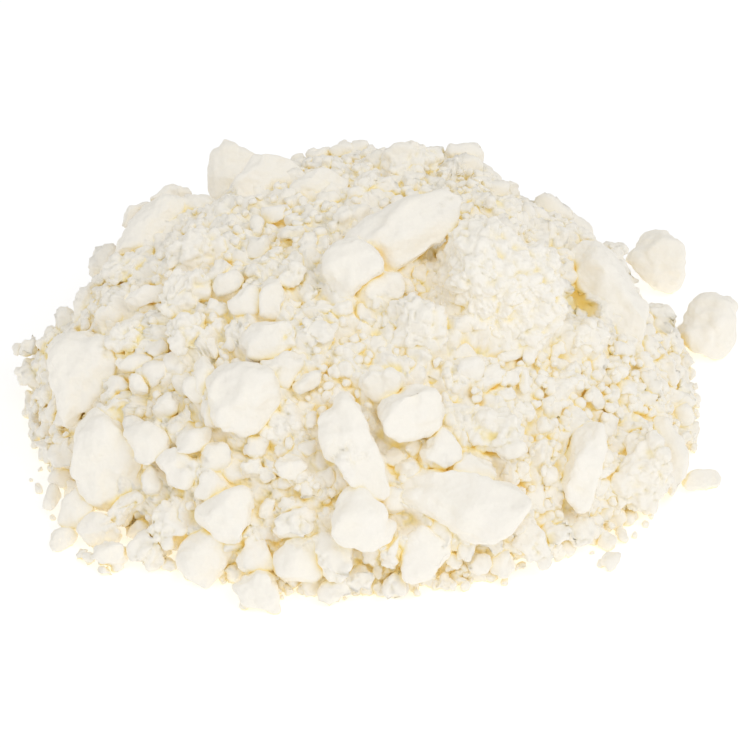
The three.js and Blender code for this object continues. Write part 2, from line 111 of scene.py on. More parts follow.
# How a lump lies: how far out of the mound, how low on the ground, and how its length may lean.
# A lump with an outline lies a little farther out, and from a length on its faces are pressed
LIFT_SHARE = 0.22
MORE_LIFT = 1.3
PRESSED_FROM = 12
GROUND_SHARE = 0.86
MOST_LEAN = 0.6
LEAST_FACING = 0.3
REST_FLAT = 0.5

# Over this height in mm lumps are lower than they would be, so that the log keeps to its height
TOP_START = 50.0
TOP_SHARE = 0.5

# Lumps that cover what the table leaves bare, from the largest down: size, throws and how far
# they may face the viewer. The last of them are a share smaller
FILL_STEPS = ((15, 50, -0.25), (12, 90, -0.2), (9.5, 180, -0.1), (7.5, 330, 0.1), (5.6, 240, 1))
FILL_SPREAD = 0.15
FILL_WIDTH = (0.66, 0.95)
FILL_DEPTH = (0.6, 0.9)
FILL_LOWEST = 0.05
FILL_CLOSENESS = 0.9
FILL_SEED = 7001
LAST_FILL_SHARE = 0.8

# Crumbs that settle between them: size, throws, and how high their middles may lie over the mound
CRUMB_STEPS = ((4.2, 1200, 0.3), (3.3, 1800, 0.6), (2.5, 2400, 1.0), (1.8, 3600, 1.5))
CRUMB_SPREAD = 0.25
CRUMB_WIDTH = (0.7, 1.0)
CRUMB_RADIUS = 0.42
CRUMB_PACKING = 0.4
CRUMB_SINK = 0.3
CRUMB_SEED = 4127
CROWD_REACH = 22

# Small crumbs whose places are seen: their depth for their width, and how far they tilt
SMALL_DEPTH = 1.05
SMALL_TILT = 20
SMALL_TILT_STEP = 7.0
SMALL_SEED = 900

LOOSE_SEED = 500
FLOOR_SEED = 1300
FLOOR_CRUMB_HEIGHT = 0.35

# What hides a lump with an outline: what is inside this share of it, and up to so much behind it
CLEAR_SHARE = 0.8
CLEAR_DEPTH = 3

# The subdivisions of the ball that a lump is made of, for lumps longer than a size
DETAILS = ((16, 6), (9, 5), (6.4, 4))
LEAST_DETAIL = 3
MASS_DETAIL = 7
LOOSE_DETAIL = 5
FINE_DETAIL = 2

# The sizes in mm over which lumps go into one piece or the next
MASS_FROM = 20
LARGE_FROM = 16
BROAD_FROM = 9
SMALL_FROM = 2.9

# Relief in layers: the kind, the size of its features in mm, its share of their height, the level
# that is taken off, and the salt that its numbers are drawn with
PRESSED_FACE = (
    ("swell", 4.6, 0.5, 0, 11), ("swell", 2.1, 0.25, 0, 12), ("knobs", 1.7, 0.2, 0.4, 13),
    ("swell", 0.9, 0.1, 0, 19),
)
TORN_FACE = (
    ("swell", 5.0, 0.4, 0, 21), ("cobbles", 4.2, 0.35, 1.2, 30), ("knobs", 2.3, 1.15, 0.5, 40),
    ("knobs", 1.2, 0.9, 0.28, 50),
)
BED_FACE = (
    ("swell", 5.0, 0.3, 0, 81), ("cobbles", 3.4, 0.5, 1.0, 88), ("knobs", 2.2, 1.1, 0.5, 94),
    ("knobs", 1.3, 0.8, 0.25, 98),
)
CLUMPS = (("cobbles", 7.5, 0.5, 2.4, 120),)
CREASES = (("swell", 2.4, 0.4, 0, 66),)
CREASE_STRETCH = np.array([0.25, 1.0, 1.0])
CREASE_SHIFT = 300.0
# Where a lump is torn: the patches, how soft their edges are, and how much of each kind of lump
TORN_PATCHES = (("swell", 6.5, 1, 0, 61), ("swell", 2.6, 0.4, 0, 62))
PATCH_EDGE = 0.5
TORN_SHARE = {"smooth": 0.45, "curd": 1.2, "crumb": 0.8, "pressed": 0.0}
# Lumps thinner than this in mm have less relief
FULL_RELIEF = 5

# How wide the cracks between cobbles are, how high cobbles are, and how far their pattern bends,
# and the same for knobs, with how far they reach and how round they are, as shares of their size
PATTERN_WARP_SIZE = 0.8
CRACK_WIDTH = 0.4
COBBLE_WARP = 0.25
COBBLE_HEIGHT = (0.25, 0.35)
KNOB_WARP = 0.22
KNOB_REACH = (0.42, 0.38)
KNOB_ROUNDNESS = 0.7
KNOB_HEIGHT = 0.62

# Lumps are bent by swells: their size and how far, as shares of the lump's, and how much of that
# lumps with an outline keep
BENDS = ((0.62, 0.1), (0.3, 0.06))
BEND_SALTS = (71, 72, 73)
PRESSED_BEND = 0.4
OUTLINED_BEND = 0.7

# The grid of cells that says how full of cheese the space is
GRID_STEP = 0.5
GRID_LOW = np.array([-76.0, -72.0, -6.0])
GRID_HIGH = np.array([76.0, 74.0, 60.0])
INNER_DEPTHS = (0.25, 0.75, 1.25, 1.75, 2.25, 2.75)
INNER_SHARE = 0.72
MOUND_INNER_DEPTH = 0.4
OUTLINED_SPAN = 0.7
# How far it is spread out for the bed, and the larger lumps that the bed keeps under
BED_SPREAD = 1.2
UNDER_SPREAD = 0.5
UNDER_LUMPS_FROM = 4.4
UNDER_SHARE = 0.8
# How deep a point lies, near by and farther around: how far the grid is spread out, and how far
# over the surface it is read
# These depths are the masks of the painted gold glow in the gaps
DEPTHS = {"near_depth": (0.9, 0.6), "far_depth": (3.0, 1.5)}
# Less painted glow at the foot, where the white ground lights it
FOOT_PALENESS = 0.7

# Colours of goat cheese: its broken faces, from the palest to the creamiest, then a painted glow
PALEST = "#FDF9F1"
CREAMIEST = "#FCF7EB"
# The gold is painted light in the gaps and creases: it stands for light gone through the crumbs
PAINTED_GLOW_GOLD = "#FFF0B0"

# The studio
PAPER = "#E4E4E4"
PAPER_GLOW = 0.4
SKY_STRENGTH = 0.66
LIGHTS = (("key", (0.5, -0.5, 0.8), 2.5), ("fill", (-0.5, -0.6, 0.7), 0.9))
LIGHT_SIZE = 0.9
LIGHT_AIM = (0, 0, 0.015)
SENSOR = 36
BOUNCES = 12

# Lumps of the heap: name, where the middle is seen in pixels of a picture 748 wide and high,
# length, width and depth in mm, the turn of the length from level in degrees, then the taper,
# the lift in mm and how the surface broke, where they aren't the usual ones
CREST = (
    ("ear", (231, 179), (14.5, 8, 7), 84, {"taper": 0.3, "lift": 0.5}),
    ("ear_side", (265, 181), (12.5, 11, 9), 25, {}),
    ("shelf", (318, 184), (12, 6.4, 7), -4, {}),
    ("crest_block_a", (342, 152), (4.4, 4, 4), 30, {}),
    ("crest_block_b", (357, 152), (4.6, 3.2, 4), 85, {}),
    ("crest_block_c", (318, 157), (5, 3.2, 4), 5, {}),
    ("crest_curd_a", (370, 190), (10, 6, 6), 8, {"broke": "curd"}),
    ("crest_curd_b", (411, 169), (11, 9, 8), 20, {"broke": "curd"}),
    ("crest_cap", (467, 154), (8, 4.6, 5), -6, {}),
    ("crest_slab", (460, 170), (9, 5, 5.5), 4, {}),
    ("log", (393, 241), (29.5, 11, 11), 38, {"taper": 0.12, "lift": 4}),
)
LEFT_SHOULDER = (
    ("shoulder", (153, 225), (17, 11, 12), 50, {"lift": 5.5}),
    ("shoulder_end", (133, 214), (6, 5.4, 5.5), 60, {}),
    ("shoulder_gap", (200, 212), (6.5, 6, 5.5), 0, {"lift": -2.5}),
    ("shoulder_curd_a", (203, 250), (11, 8.4, 7), 20, {"broke": "curd"}),
    ("shoulder_curd_b", (188, 291), (10.4, 9.8, 8), 40, {"broke": "curd"}),
    ("shoulder_curd_c", (128, 272), (10.6, 6.8, 6.5), 18, {"broke": "curd"}),
    ("shoulder_block", (103, 262), (6.4, 5.2, 5), 80, {}),
    ("shoulder_bar", (148, 296), (8.2, 4.4, 5), 10, {}),
    ("shoulder_tip", (85, 303), (6.4, 4.4, 5), 78, {}),
    ("shoulder_foot", (110, 310), (10, 7.2, 6.5), 76, {}),
)
UPPER_MIDDLE = (
    ("upper_a", (292, 234), (5.6, 3.6, 4), 10, {}),
    ("upper_b", (345, 222), (7, 5.4, 5.5), 75, {}),
    ("upper_c", (292, 277), (6.4, 4.8, 5), 88, {}),
    ("upper_d", (242, 301), (6.4, 5.8, 5.5), 20, {}),
    ("upper_e", (272, 300), (7, 4.4, 5), 84, {}),
    ("upper_f", (226, 282), (5.4, 4.4, 4.8), 15, {}),
    ("upper_g", (384, 293), (8, 6.4, 6), 20, {}),
    ("upper_h", (258, 248), (4.8, 4.4, 4.4), 0, {}),
    ("upper_i", (275, 215), (4.8, 3.6, 4), 5, {}),
)
RIGHT_BACK = (
    ("dimpled", (499, 213), (8, 6.2, 6), 8, {}),
    ("right_back_a", (548, 208), (5.4, 4.6, 4.8), 70, {}),
    ("right_back_b", (553, 234), (7.2, 5, 5.5), -12, {}),
    ("right_back_c", (526, 220), (4.6, 4, 4.4), 50, {}),
    ("right_back_d", (497, 191), (5, 3.6, 4), 0, {}),
    ("curd_mass", (506, 286), (24, 20.5, 14), 78, {"lift": 4.8, "broke": "curd"}),
    ("hollow_wall", (611, 288), (27, 13, 15), -62, {"lift": 1}),
    ("hollow_foot", (582, 335), (8, 7, 7), 0, {"broke": "curd"}),
    ("right_back_e", (650, 314), (7, 5.2, 5.5), -20, {}),
    ("right_back_f", (584, 247), (9, 6, 6), -40, {}),
)
FAR_LEFT = (
    ("far_left_finger", (65, 320), (6.4, 3.8, 4.2), 84, {"lift": 3}),
    ("far_left_ridge", (48, 357), (10.6, 4.6, 6.5), 84, {"lift": 3, "broke": "curd"}),
    ("far_left_lump", (34, 373), (7.6, 7, 7), 20, {"lift": 3, "broke": "curd"}),
    ("far_left_nub", (25, 345), (5, 3.6, 4), 40, {"lift": 3, "broke": "curd"}),
    ("boulder_high", (84, 377), (16.8, 12.8, 12), 84, {"taper": 0.3, "lift": 2}),
    ("boulder_low", (104, 459), (19.4, 10.8, 11), 112, {"lift": 2}),
    ("far_left_low", (66, 453), (6.4, 5.6, 5.5), 70, {}),
)
LEFT_MIDDLE = (
    ("left_curd_a", (131, 342), (7.8, 6.6, 6), 15, {"broke": "curd"}),
    ("left_curd_b", (188, 332), (8.4, 8, 7), 0, {"broke": "curd"}),
    ("left_c", (133, 363), (5.8, 3.6, 4), -5, {}),
    ("left_d", (114, 389), (5.4, 5.2, 5), 0, {}),
    ("left_e", (118, 411), (6, 5, 5), 10, {}),
    ("left_f", (140, 382), (5.2, 4.2, 4.4), 30, {}),
    ("left_g", (163, 403), (5.8, 5.2, 5), 60, {}),
    ("left_h", (194, 388), (5.8, 4.2, 4.6), 88, {}),
    ("left_wedge", (152, 440), (8.6, 7.6, 7), 60, {"lift": 2}),
    ("left_j", (195, 443), (7.2, 5.2, 5.5), -10, {}),
    ("left_k", (178, 470), (8.8, 7.6, 7), 80, {}),
)
MIDDLE = (
    ("flat_slab", (270, 340), (11, 7.6, 5.5), 12, {}),
    ("middle_a", (315, 333), (7.2, 5.6, 5.5), 0, {}),
    ("middle_bar", (330, 311), (10, 3.8, 4.4), 6, {}),
    ("pale_lump", (243, 398), (13, 12, 9.5), 70, {"lift": 3}),
    ("middle_c", (281, 368), (7.2, 5.4, 5.4), -8, {}),
    ("middle_d", (205, 378), (7.4, 4.4, 5), 86, {}),
    ("middle_e", (206, 412), (6, 3.8, 4.4), 84, {}),
    ("middle_f", (308, 381), (5, 3.8, 4.2), 0, {}),
    ("finger", (352, 447), (20.5, 8.4, 8), -66, {"lift": 3.5}),
    ("middle_curd", (420, 325), (11, 10.6, 8.5), 0, {"broke": "curd"}),
    ("middle_g", (388, 377), (9, 7.8, 6.5), -20, {}),
    ("pillow", (408, 413), (12.6, 9.8, 8.5), 25, {"lift": 3}),
    ("middle_h", (460, 324), (5, 4.2, 4.4), 0, {}),
    ("middle_i", (467, 371), (5.4, 4.6, 4.6), 0, {}),
    ("middle_j", (497, 440), (9, 8.8, 7.5), 0, {}),
    ("middle_k", (441, 452), (7.2, 6.8, 6.2), 30, {}),
)
RIGHT_EDGE = (
    ("right_a", (683, 363), (5.6, 4.4, 4.6), 80, {}),
    ("right_b", (680, 393), (6.2, 6, 5.8), 0, {}),
    ("right_c", (681, 414), (5.4, 4.6, 4.8), 0, {}),
    ("right_d", (650, 385), (7, 4.2, 5), 84, {}),
    ("right_e", (667, 368), (5.8, 5, 5), 70, {}),
    ("curd_block", (649, 463), (19, 16.5, 14), 78, {"lift": 3.5, "broke": "curd"}),
    ("upright_block", (584, 467), (16.6, 8.4, 9.5), 82, {"lift": 3.5}),
)
LOWER_LEFT = (
    ("low_left_a", (62, 477), (5.8, 3.8, 4.4), 10, {}),
    ("low_left_b", (51, 497), (5.6, 3.6, 4.4), 80, {}),
    ("low_left_c", (78, 508), (8.4, 7, 6.6), 76, {}),
    ("low_left_d", (98, 530), (8, 6.6, 6.4), -20, {}),
    ("low_left_e", (109, 552), (6.6, 5.2, 5.2), 10, {}),
    ("low_left_f", (125, 507), (8, 7.2, 6.6), 20, {}),
    ("low_left_g", (172, 519), (10.8, 8, 7.6), 94, {"lift": 1}),
    ("low_left_h", (145, 551), (7, 6.4, 6), 0, {}),
    ("low_left_i", (207, 552), (11, 10.2, 9), 20, {"lift": 1}),
    ("low_left_j", (150, 476), (5.2, 4.2, 4.4), 80, {}),
)
LOWER_MIDDLE = (
    ("low_a", (215, 455), (5.8, 5.6, 5.2), 0, {}),
    ("low_b", (210, 485), (7, 6, 5.6), 80, {}),
    ("round_lump", (232, 513), (11.2, 10.2, 8.5), 10, {"lift": 2.5}),
    ("low_c", (255, 553), (7.6, 6, 6), 84, {}),
    ("low_d", (297, 557), (8.4, 8.2, 7), 0, {}),
    ("low_e", (295, 520), (7.6, 6.6, 6.2), 0, {}),
    ("low_f", (332, 555), (9, 8.2, 7.4), 20, {}),
    ("proud_lump", (366, 518), (12, 10.4, 9.5), 76, {"lift": 2.5}),
    ("low_g", (360, 577), (5.4, 4.4, 4.4), 0, {}),
    ("low_h", (333, 587), (6, 4.6, 4.8), 0, {}),
    ("low_i", (290, 465), (6.6, 4.8, 4.8), 0, {}),
)
LOWER_RIGHT = (
    ("smooth_slab", (462, 503), (22.4, 12.2, 11), 3, {"lift": 2.5}),
    ("smooth_cap", (473, 467), (8.4, 6, 6.4), 0, {}),
    ("low_j", (395, 500), (5, 4.6, 4.8), 0, {}),
    ("low_k", (420, 552), (12, 9, 8.4), 78, {"lift": 1}),
    ("low_l", (441, 535), (6, 3.8, 4.6), 76, {}),
    ("low_m", (393, 550), (7.6, 4.6, 5.2), 84, {}),
    ("low_n", (396, 582), (5.4, 4.4, 4.6), 80, {}),
    ("low_o", (467, 547), (5.4, 3.8, 4.4), 80, {}),
    ("low_p", (479, 563), (4.8, 3.8, 4.2), 0, {}),
    ("low_q", (505, 564), (5.4, 5.2, 5), 0, {}),
    ("low_r", (532, 544), (10.4, 7.6, 7.2), 116, {"lift": 1}),
    ("low_s", (552, 533), (5.8, 5.2, 5.2), 0, {}),
    ("low_t", (580, 529), (7.2, 5.2, 5.4), 84, {}),
)
HEAP_LUMPS = (
    *CREST, *LEFT_SHOULDER, *UPPER_MIDDLE, *RIGHT_BACK, *FAR_LEFT, *LEFT_MIDDLE,
    *MIDDLE, *RIGHT_EDGE, *LOWER_LEFT, *LOWER_MIDDLE, *LOWER_RIGHT,
)

# More lumps, which the CAD has as part of others
MORE_LUMPS = (
    ("log_end", (352, 268), (11, 10, 9.5), 38, {"lift": 4}),
    ("block_side", (671, 457), (15, 7.5, 10), 80, {"lift": 2}),
    ("shoulder_rim", (172, 194), (8.5, 3, 5), 8, {"lift": 3}),
    ("chip", (600, 331), (3.4, 3, 3), 20, {"lift": 3}),
    ("behind_right", (616, 254), (4, 4, 4), 0, {}),
)

# The outlines of lumps as they are seen, in pixels
OUTLINES = {
    "ear": (
        (213, 147), (224, 141), (256, 156), (250, 168), (238, 180), (233, 212), (222, 210),
        (213, 198),
    ),
    "ear_side": (
        (238, 178), (247, 165), (258, 157), (300, 164), (302, 176), (270, 186), (248, 206),
        (236, 204),
    ),
    "shelf": ((291, 184), (300, 176), (330, 172), (349, 182), (342, 190), (322, 197), (300, 198)),
    "crest_curd_a": (
        (352, 192), (366, 176), (382, 178), (396, 190), (388, 204), (374, 209), (358, 203),
    ),
    "log": (
        (344, 238), (363, 220), (400, 200), (421, 186), (440, 181), (451, 185), (459, 197), (459, 211),
        (450, 231), (440, 243), (405, 263), (368, 284), (350, 268),
    ),
    "log_end": (
        (325, 256), (339, 244), (361, 240), (374, 254), (380, 273), (342, 297), (331, 289),
        (324, 272),
    ),
    "shoulder": (
        (152, 200), (166, 196), (184, 198), (187, 209), (178, 238), (171, 252), (150, 260), (118, 257),
        (124, 238), (139, 213),
    ),
    "shoulder_rim": (
        (150, 199), (162, 189), (178, 185), (190, 189), (194, 198), (188, 203), (165, 200),
    ),
    "shoulder_end": ((122, 224), (127, 210), (138, 204), (153, 202), (147, 212), (131, 228)),
    "shoulder_curd_a": (
        (171, 250), (179, 241), (203, 231), (221, 237), (230, 250), (229, 267), (212, 272),
        (173, 265),
    ),
    "shoulder_curd_b": (
        (159, 302), (184, 273), (203, 272), (213, 283), (210, 296), (178, 313), (164, 311),
    ),
    "shoulder_curd_c": (
        (102, 272), (110, 262), (134, 257), (152, 264), (153, 275), (141, 285), (108, 281),
    ),
    "shoulder_bar": (
        (124, 297), (133, 288), (158, 286), (167, 292), (158, 302), (141, 308), (128, 304),
    ),
    "shoulder_tip": ((76, 303), (80, 292), (90, 286), (96, 294), (92, 312), (82, 320), (76, 316)),
    "shoulder_foot": (
        (97, 318), (104, 302), (120, 294), (128, 300), (126, 318), (112, 334), (100, 335),
    ),
    "upper_b": ((336, 214), (348, 206), (363, 210), (365, 218), (352, 235), (340, 241), (332, 233)),
    "upper_c": ((281, 276), (288, 264), (300, 262), (306, 274), (301, 287), (289, 291), (282, 285)),
    "upper_d": ((229, 301), (244, 289), (256, 289), (262, 303), (252, 314), (236, 313)),
    "upper_e": ((262, 297), (266, 284), (279, 283), (285, 298), (279, 317), (267, 320), (262, 311)),
    "upper_f": ((213, 284), (217, 275), (237, 272), (242, 281), (235, 290), (216, 297)),
    "dimpled": (
        (478, 198), (501, 196), (515, 203), (519, 216), (515, 228), (500, 231), (486, 216),
        (475, 207),
    ),
    "right_back_a": (
        (531, 212), (538, 200), (546, 194), (571, 208), (574, 214), (570, 221), (538, 220),
    ),
    "right_back_b": (
        (533, 232), (538, 225), (552, 222), (563, 229), (567, 239), (560, 247), (545, 246),
    ),
    "curd_mass": (
        (448, 252), (452, 236), (459, 226), (472, 222), (500, 228), (530, 239), (547, 245), (556, 266),
        (559, 292), (559, 318), (552, 331), (540, 339), (505, 340), (480, 325), (456, 303), (447, 272),
    ),
    "hollow_wall": (
        (566, 250), (578, 240), (600, 245), (612, 252), (629, 280), (641, 315), (643, 331), (632, 343),
        (607, 338), (585, 300), (566, 268),
    ),
    "chip": ((592, 326), (601, 321), (608, 331), (604, 340), (594, 338)),
    "right_back_e": (
        (642, 318), (646, 306), (660, 303), (670, 310), (672, 325), (664, 333), (650, 330),
    ),
    "far_left_finger": (
        (53, 314), (57, 306), (64, 305), (70, 310), (77, 331), (68, 336), (59, 328),
    ),
    "far_left_ridge": (
        (38, 350), (43, 335), (52, 331), (60, 338), (58, 350), (53, 386), (44, 386), (37, 366),
    ),
    "far_left_lump": ((19, 372), (28, 362), (41, 362), (53, 375), (52, 389), (38, 391), (24, 383)),
    "far_left_nub": ((20, 344), (32, 334), (37, 345), (31, 356), (21, 354)),
    "boulder_high": (
        (50, 356), (57, 343), (76, 335), (100, 338), (114, 343), (116, 357), (110, 378), (96, 394),
        (84, 407), (76, 424), (65, 422), (58, 395), (52, 375),
    ),
    "boulder_low": (
        (77, 436), (84, 418), (94, 411), (107, 416), (121, 433), (136, 444), (138, 456), (131, 500),
        (112, 511), (92, 504), (80, 480),
    ),
    "far_left_low": ((51, 452), (60, 440), (72, 437), (77, 452), (71, 466), (57, 466)),
    "left_curd_a": (
        (112, 341), (120, 330), (138, 326), (150, 333), (150, 348), (132, 355), (117, 351),
    ),
    "left_curd_b": (
        (170, 330), (180, 320), (198, 318), (210, 328), (208, 342), (192, 350), (176, 346),
    ),
    "left_c": ((118, 362), (130, 356), (148, 356), (149, 366), (138, 371), (122, 370)),
    "left_d": ((103, 389), (111, 378), (122, 377), (128, 390), (121, 401), (106, 399)),
    "left_e": ((103, 409), (111, 400), (129, 403), (132, 415), (123, 425), (109, 419)),
    "left_f": ((130, 376), (139, 374), (149, 384), (149, 394), (137, 393), (130, 385)),
    "left_g": ((152, 404), (162, 393), (172, 390), (178, 400), (174, 414), (160, 419), (153, 413)),
    "left_h": ((184, 380), (195, 376), (204, 386), (206, 402), (194, 401), (184, 392)),
    "left_wedge": (
        (130, 422), (150, 422), (167, 434), (170, 446), (156, 461), (143, 463), (130, 436),
    ),
    "left_j": ((177, 445), (186, 433), (208, 429), (213, 438), (204, 450), (186, 454)),
    "left_k": ((156, 461), (166, 451), (180, 452), (199, 470), (198, 484), (186, 491), (172, 485)),
    "flat_slab": (
        (243, 340), (255, 326), (282, 320), (294, 328), (297, 343), (288, 352), (262, 362),
        (250, 356),
    ),
    "middle_a": (
        (300, 334), (306, 322), (322, 318), (334, 326), (330, 342), (314, 349), (303, 343),
    ),
    "pale_lump": (
        (212, 380), (225, 369), (250, 367), (270, 372), (274, 388), (264, 418), (254, 430), (232, 431),
        (219, 424),
    ),
    "middle_c": ((262, 364), (290, 354), (299, 360), (298, 372), (288, 384), (276, 380)),
    "middle_d": ((194, 370), (202, 361), (211, 366), (215, 400), (204, 398), (196, 385)),
    "middle_e": ((202, 402), (212, 400), (217, 410), (216, 427), (206, 424), (202, 412)),
    "middle_f": ((296, 384), (304, 376), (318, 373), (319, 383), (308, 391), (298, 392)),
    "finger": (
        (319, 420), (322, 408), (333, 401), (350, 400), (358, 412), (370, 450), (382, 470), (389, 488),
        (380, 496), (366, 492), (352, 478), (338, 464), (328, 445),
    ),
    "middle_g": (
        (362, 385), (370, 372), (392, 367), (402, 374), (400, 388), (384, 397), (368, 396),
    ),
    "pillow": (
        (378, 412), (384, 401), (398, 395), (425, 390), (435, 395), (440, 410), (436, 428), (420, 436),
        (400, 440), (386, 430),
    ),
    "middle_j": (
        (470, 425), (480, 417), (505, 413), (515, 420), (517, 440), (515, 455), (505, 458),
        (474, 443),
    ),
    "middle_k": (
        (422, 450), (430, 437), (446, 432), (458, 445), (458, 458), (448, 466), (430, 466),
    ),
    "right_a": ((673, 358), (680, 354), (690, 355), (694, 362), (688, 372), (686, 380), (677, 370)),
    "right_b": ((667, 388), (672, 380), (686, 379), (693, 390), (694, 402), (688, 410), (672, 408)),
    "right_c": ((668, 412), (675, 405), (690, 406), (693, 415), (690, 424), (680, 427), (668, 420)),
    "right_d": ((641, 375), (650, 370), (658, 380), (663, 393), (658, 402), (650, 398)),
    "right_e": ((652, 358), (660, 352), (672, 362), (676, 376), (668, 384), (656, 374)),
    "curd_block": (
        (607, 472), (613, 455), (626, 438), (640, 428), (650, 424), (657, 440), (660, 462), (668, 490),
        (660, 500), (648, 512), (628, 508), (612, 498), (606, 485),
    ),
    "block_side": (
        (650, 418), (668, 420), (681, 437), (688, 448), (688, 460), (682, 476), (668, 494),
        (660, 462),
    ),
    "upright_block": (
        (567, 462), (574, 441), (580, 430), (590, 426), (602, 430), (603, 445), (594, 488), (590, 503),
        (580, 508), (570, 498), (563, 480),
    ),
    "low_left_a": ((50, 478), (52, 470), (66, 469), (75, 477), (74, 486), (60, 487)),
    "low_left_b": ((46, 498), (50, 485), (58, 487), (60, 497), (52, 510), (44, 508)),
    "low_left_c": (
        (63, 510), (67, 493), (80, 488), (93, 497), (95, 510), (85, 524), (72, 528), (64, 522),
    ),
    "low_left_d": ((79, 530), (85, 518), (98, 515), (112, 522), (120, 537), (108, 546), (94, 547)),
    "low_left_e": (
        (95, 553), (100, 545), (118, 543), (126, 549), (124, 559), (108, 566), (98, 562),
    ),
    "low_left_f": (
        (109, 510), (118, 498), (134, 490), (143, 498), (138, 512), (125, 526), (112, 522),
    ),
    "low_left_g": (
        (155, 520), (158, 504), (170, 496), (184, 502), (190, 520), (190, 536), (164, 546),
        (155, 537),
    ),
    "low_left_h": (
        (128, 546), (138, 534), (150, 533), (160, 548), (163, 558), (150, 568), (130, 556),
    ),
    "low_left_i": (
        (181, 558), (185, 545), (197, 533), (220, 531), (231, 552), (221, 572), (210, 581),
        (188, 572),
    ),
    "low_left_j": (
        (144, 472), (150, 464), (160, 474), (164, 484), (158, 494), (148, 492), (144, 480),
    ),
    "low_a": ((202, 456), (206, 445), (222, 443), (229, 452), (228, 464), (216, 470), (204, 466)),
    "low_b": ((200, 480), (204, 470), (214, 474), (225, 488), (222, 498), (206, 500), (196, 492)),
    "round_lump": (
        (201, 515), (205, 505), (232, 490), (243, 492), (251, 505), (253, 520), (238, 539),
        (208, 526),
    ),
    "low_c": ((243, 548), (250, 536), (262, 535), (276, 566), (262, 572), (246, 570), (240, 560)),
    "low_d": (
        (276, 562), (280, 547), (293, 538), (310, 540), (320, 550), (318, 575), (306, 573),
        (282, 574),
    ),
    "low_e": ((275, 528), (282, 515), (302, 507), (312, 512), (311, 526), (297, 537), (280, 537)),
    "low_f": ((313, 540), (325, 533), (345, 540), (352, 548), (349, 562), (338, 577), (326, 574)),
    "proud_lump": (
        (338, 512), (342, 496), (352, 490), (364, 492), (378, 505), (388, 520), (389, 534), (380, 545),
        (366, 547), (346, 540),
    ),
    "low_g": ((346, 575), (352, 567), (366, 567), (373, 576), (368, 586), (358, 588), (348, 583)),
    "low_h": ((319, 592), (325, 582), (338, 578), (348, 584), (346, 594), (330, 600), (321, 598)),
    "low_i": ((276, 465), (282, 457), (298, 457), (306, 466), (298, 475), (282, 475)),
    "smooth_slab": (
        (402, 482), (415, 471), (440, 470), (470, 480), (500, 486), (516, 490), (519, 505), (511, 522),
        (500, 532), (478, 537), (452, 522), (406, 500),
    ),
    "smooth_cap": (
        (450, 465), (460, 453), (470, 449), (483, 457), (496, 474), (485, 482), (465, 484),
        (452, 474),
    ),
    "low_k": (
        (402, 560), (405, 540), (418, 531), (436, 535), (446, 550), (432, 575), (415, 582),
        (405, 575),
    ),
    "low_l": ((424, 525), (430, 518), (441, 517), (449, 527), (450, 545), (443, 550), (432, 540)),
    "low_m": ((382, 553), (390, 540), (400, 532), (402, 540), (400, 556), (395, 567), (386, 563)),
    "low_n": ((383, 590), (387, 577), (396, 569), (402, 576), (406, 590), (404, 595), (388, 595)),
    "low_o": ((457, 542), (466, 538), (477, 540), (474, 550), (470, 558), (461, 556)),
    "low_p": ((469, 562), (474, 555), (487, 556), (489, 567), (480, 573), (471, 570)),
    "low_q": ((489, 562), (500, 552), (512, 553), (516, 562), (510, 572), (503, 577), (495, 573)),
    "low_r": (
        (513, 522), (518, 516), (526, 520), (548, 545), (550, 555), (542, 564), (530, 562),
        (514, 538),
    ),
    "low_s": ((540, 532), (548, 523), (563, 521), (570, 530), (566, 540), (552, 546), (543, 542)),
    "low_t": ((568, 518), (575, 512), (590, 512), (593, 525), (592, 540), (580, 546), (570, 543)),
    "loose_upper_right": (
        (622, 262), (632, 247), (645, 234), (662, 231), (683, 243), (686, 262), (684, 280), (672, 295),
        (655, 290), (640, 276),
    ),
    "loose_right": (
        (676, 335), (682, 325), (690, 305), (700, 292), (716, 292), (730, 300), (736, 325), (732, 345),
        (722, 358), (705, 358), (690, 352),
    ),
    "loose_low_right": (
        (681, 480), (690, 472), (704, 470), (716, 471), (720, 480), (718, 486), (700, 491),
        (684, 489),
    ),
    "loose_low_left": ((50, 538), (54, 531), (68, 530), (75, 534), (76, 542), (66, 548), (56, 546)),
    "loose_front": (
        (236, 592), (239, 580), (252, 573), (268, 574), (275, 584), (278, 595), (273, 608),
        (246, 603),
    ),
}

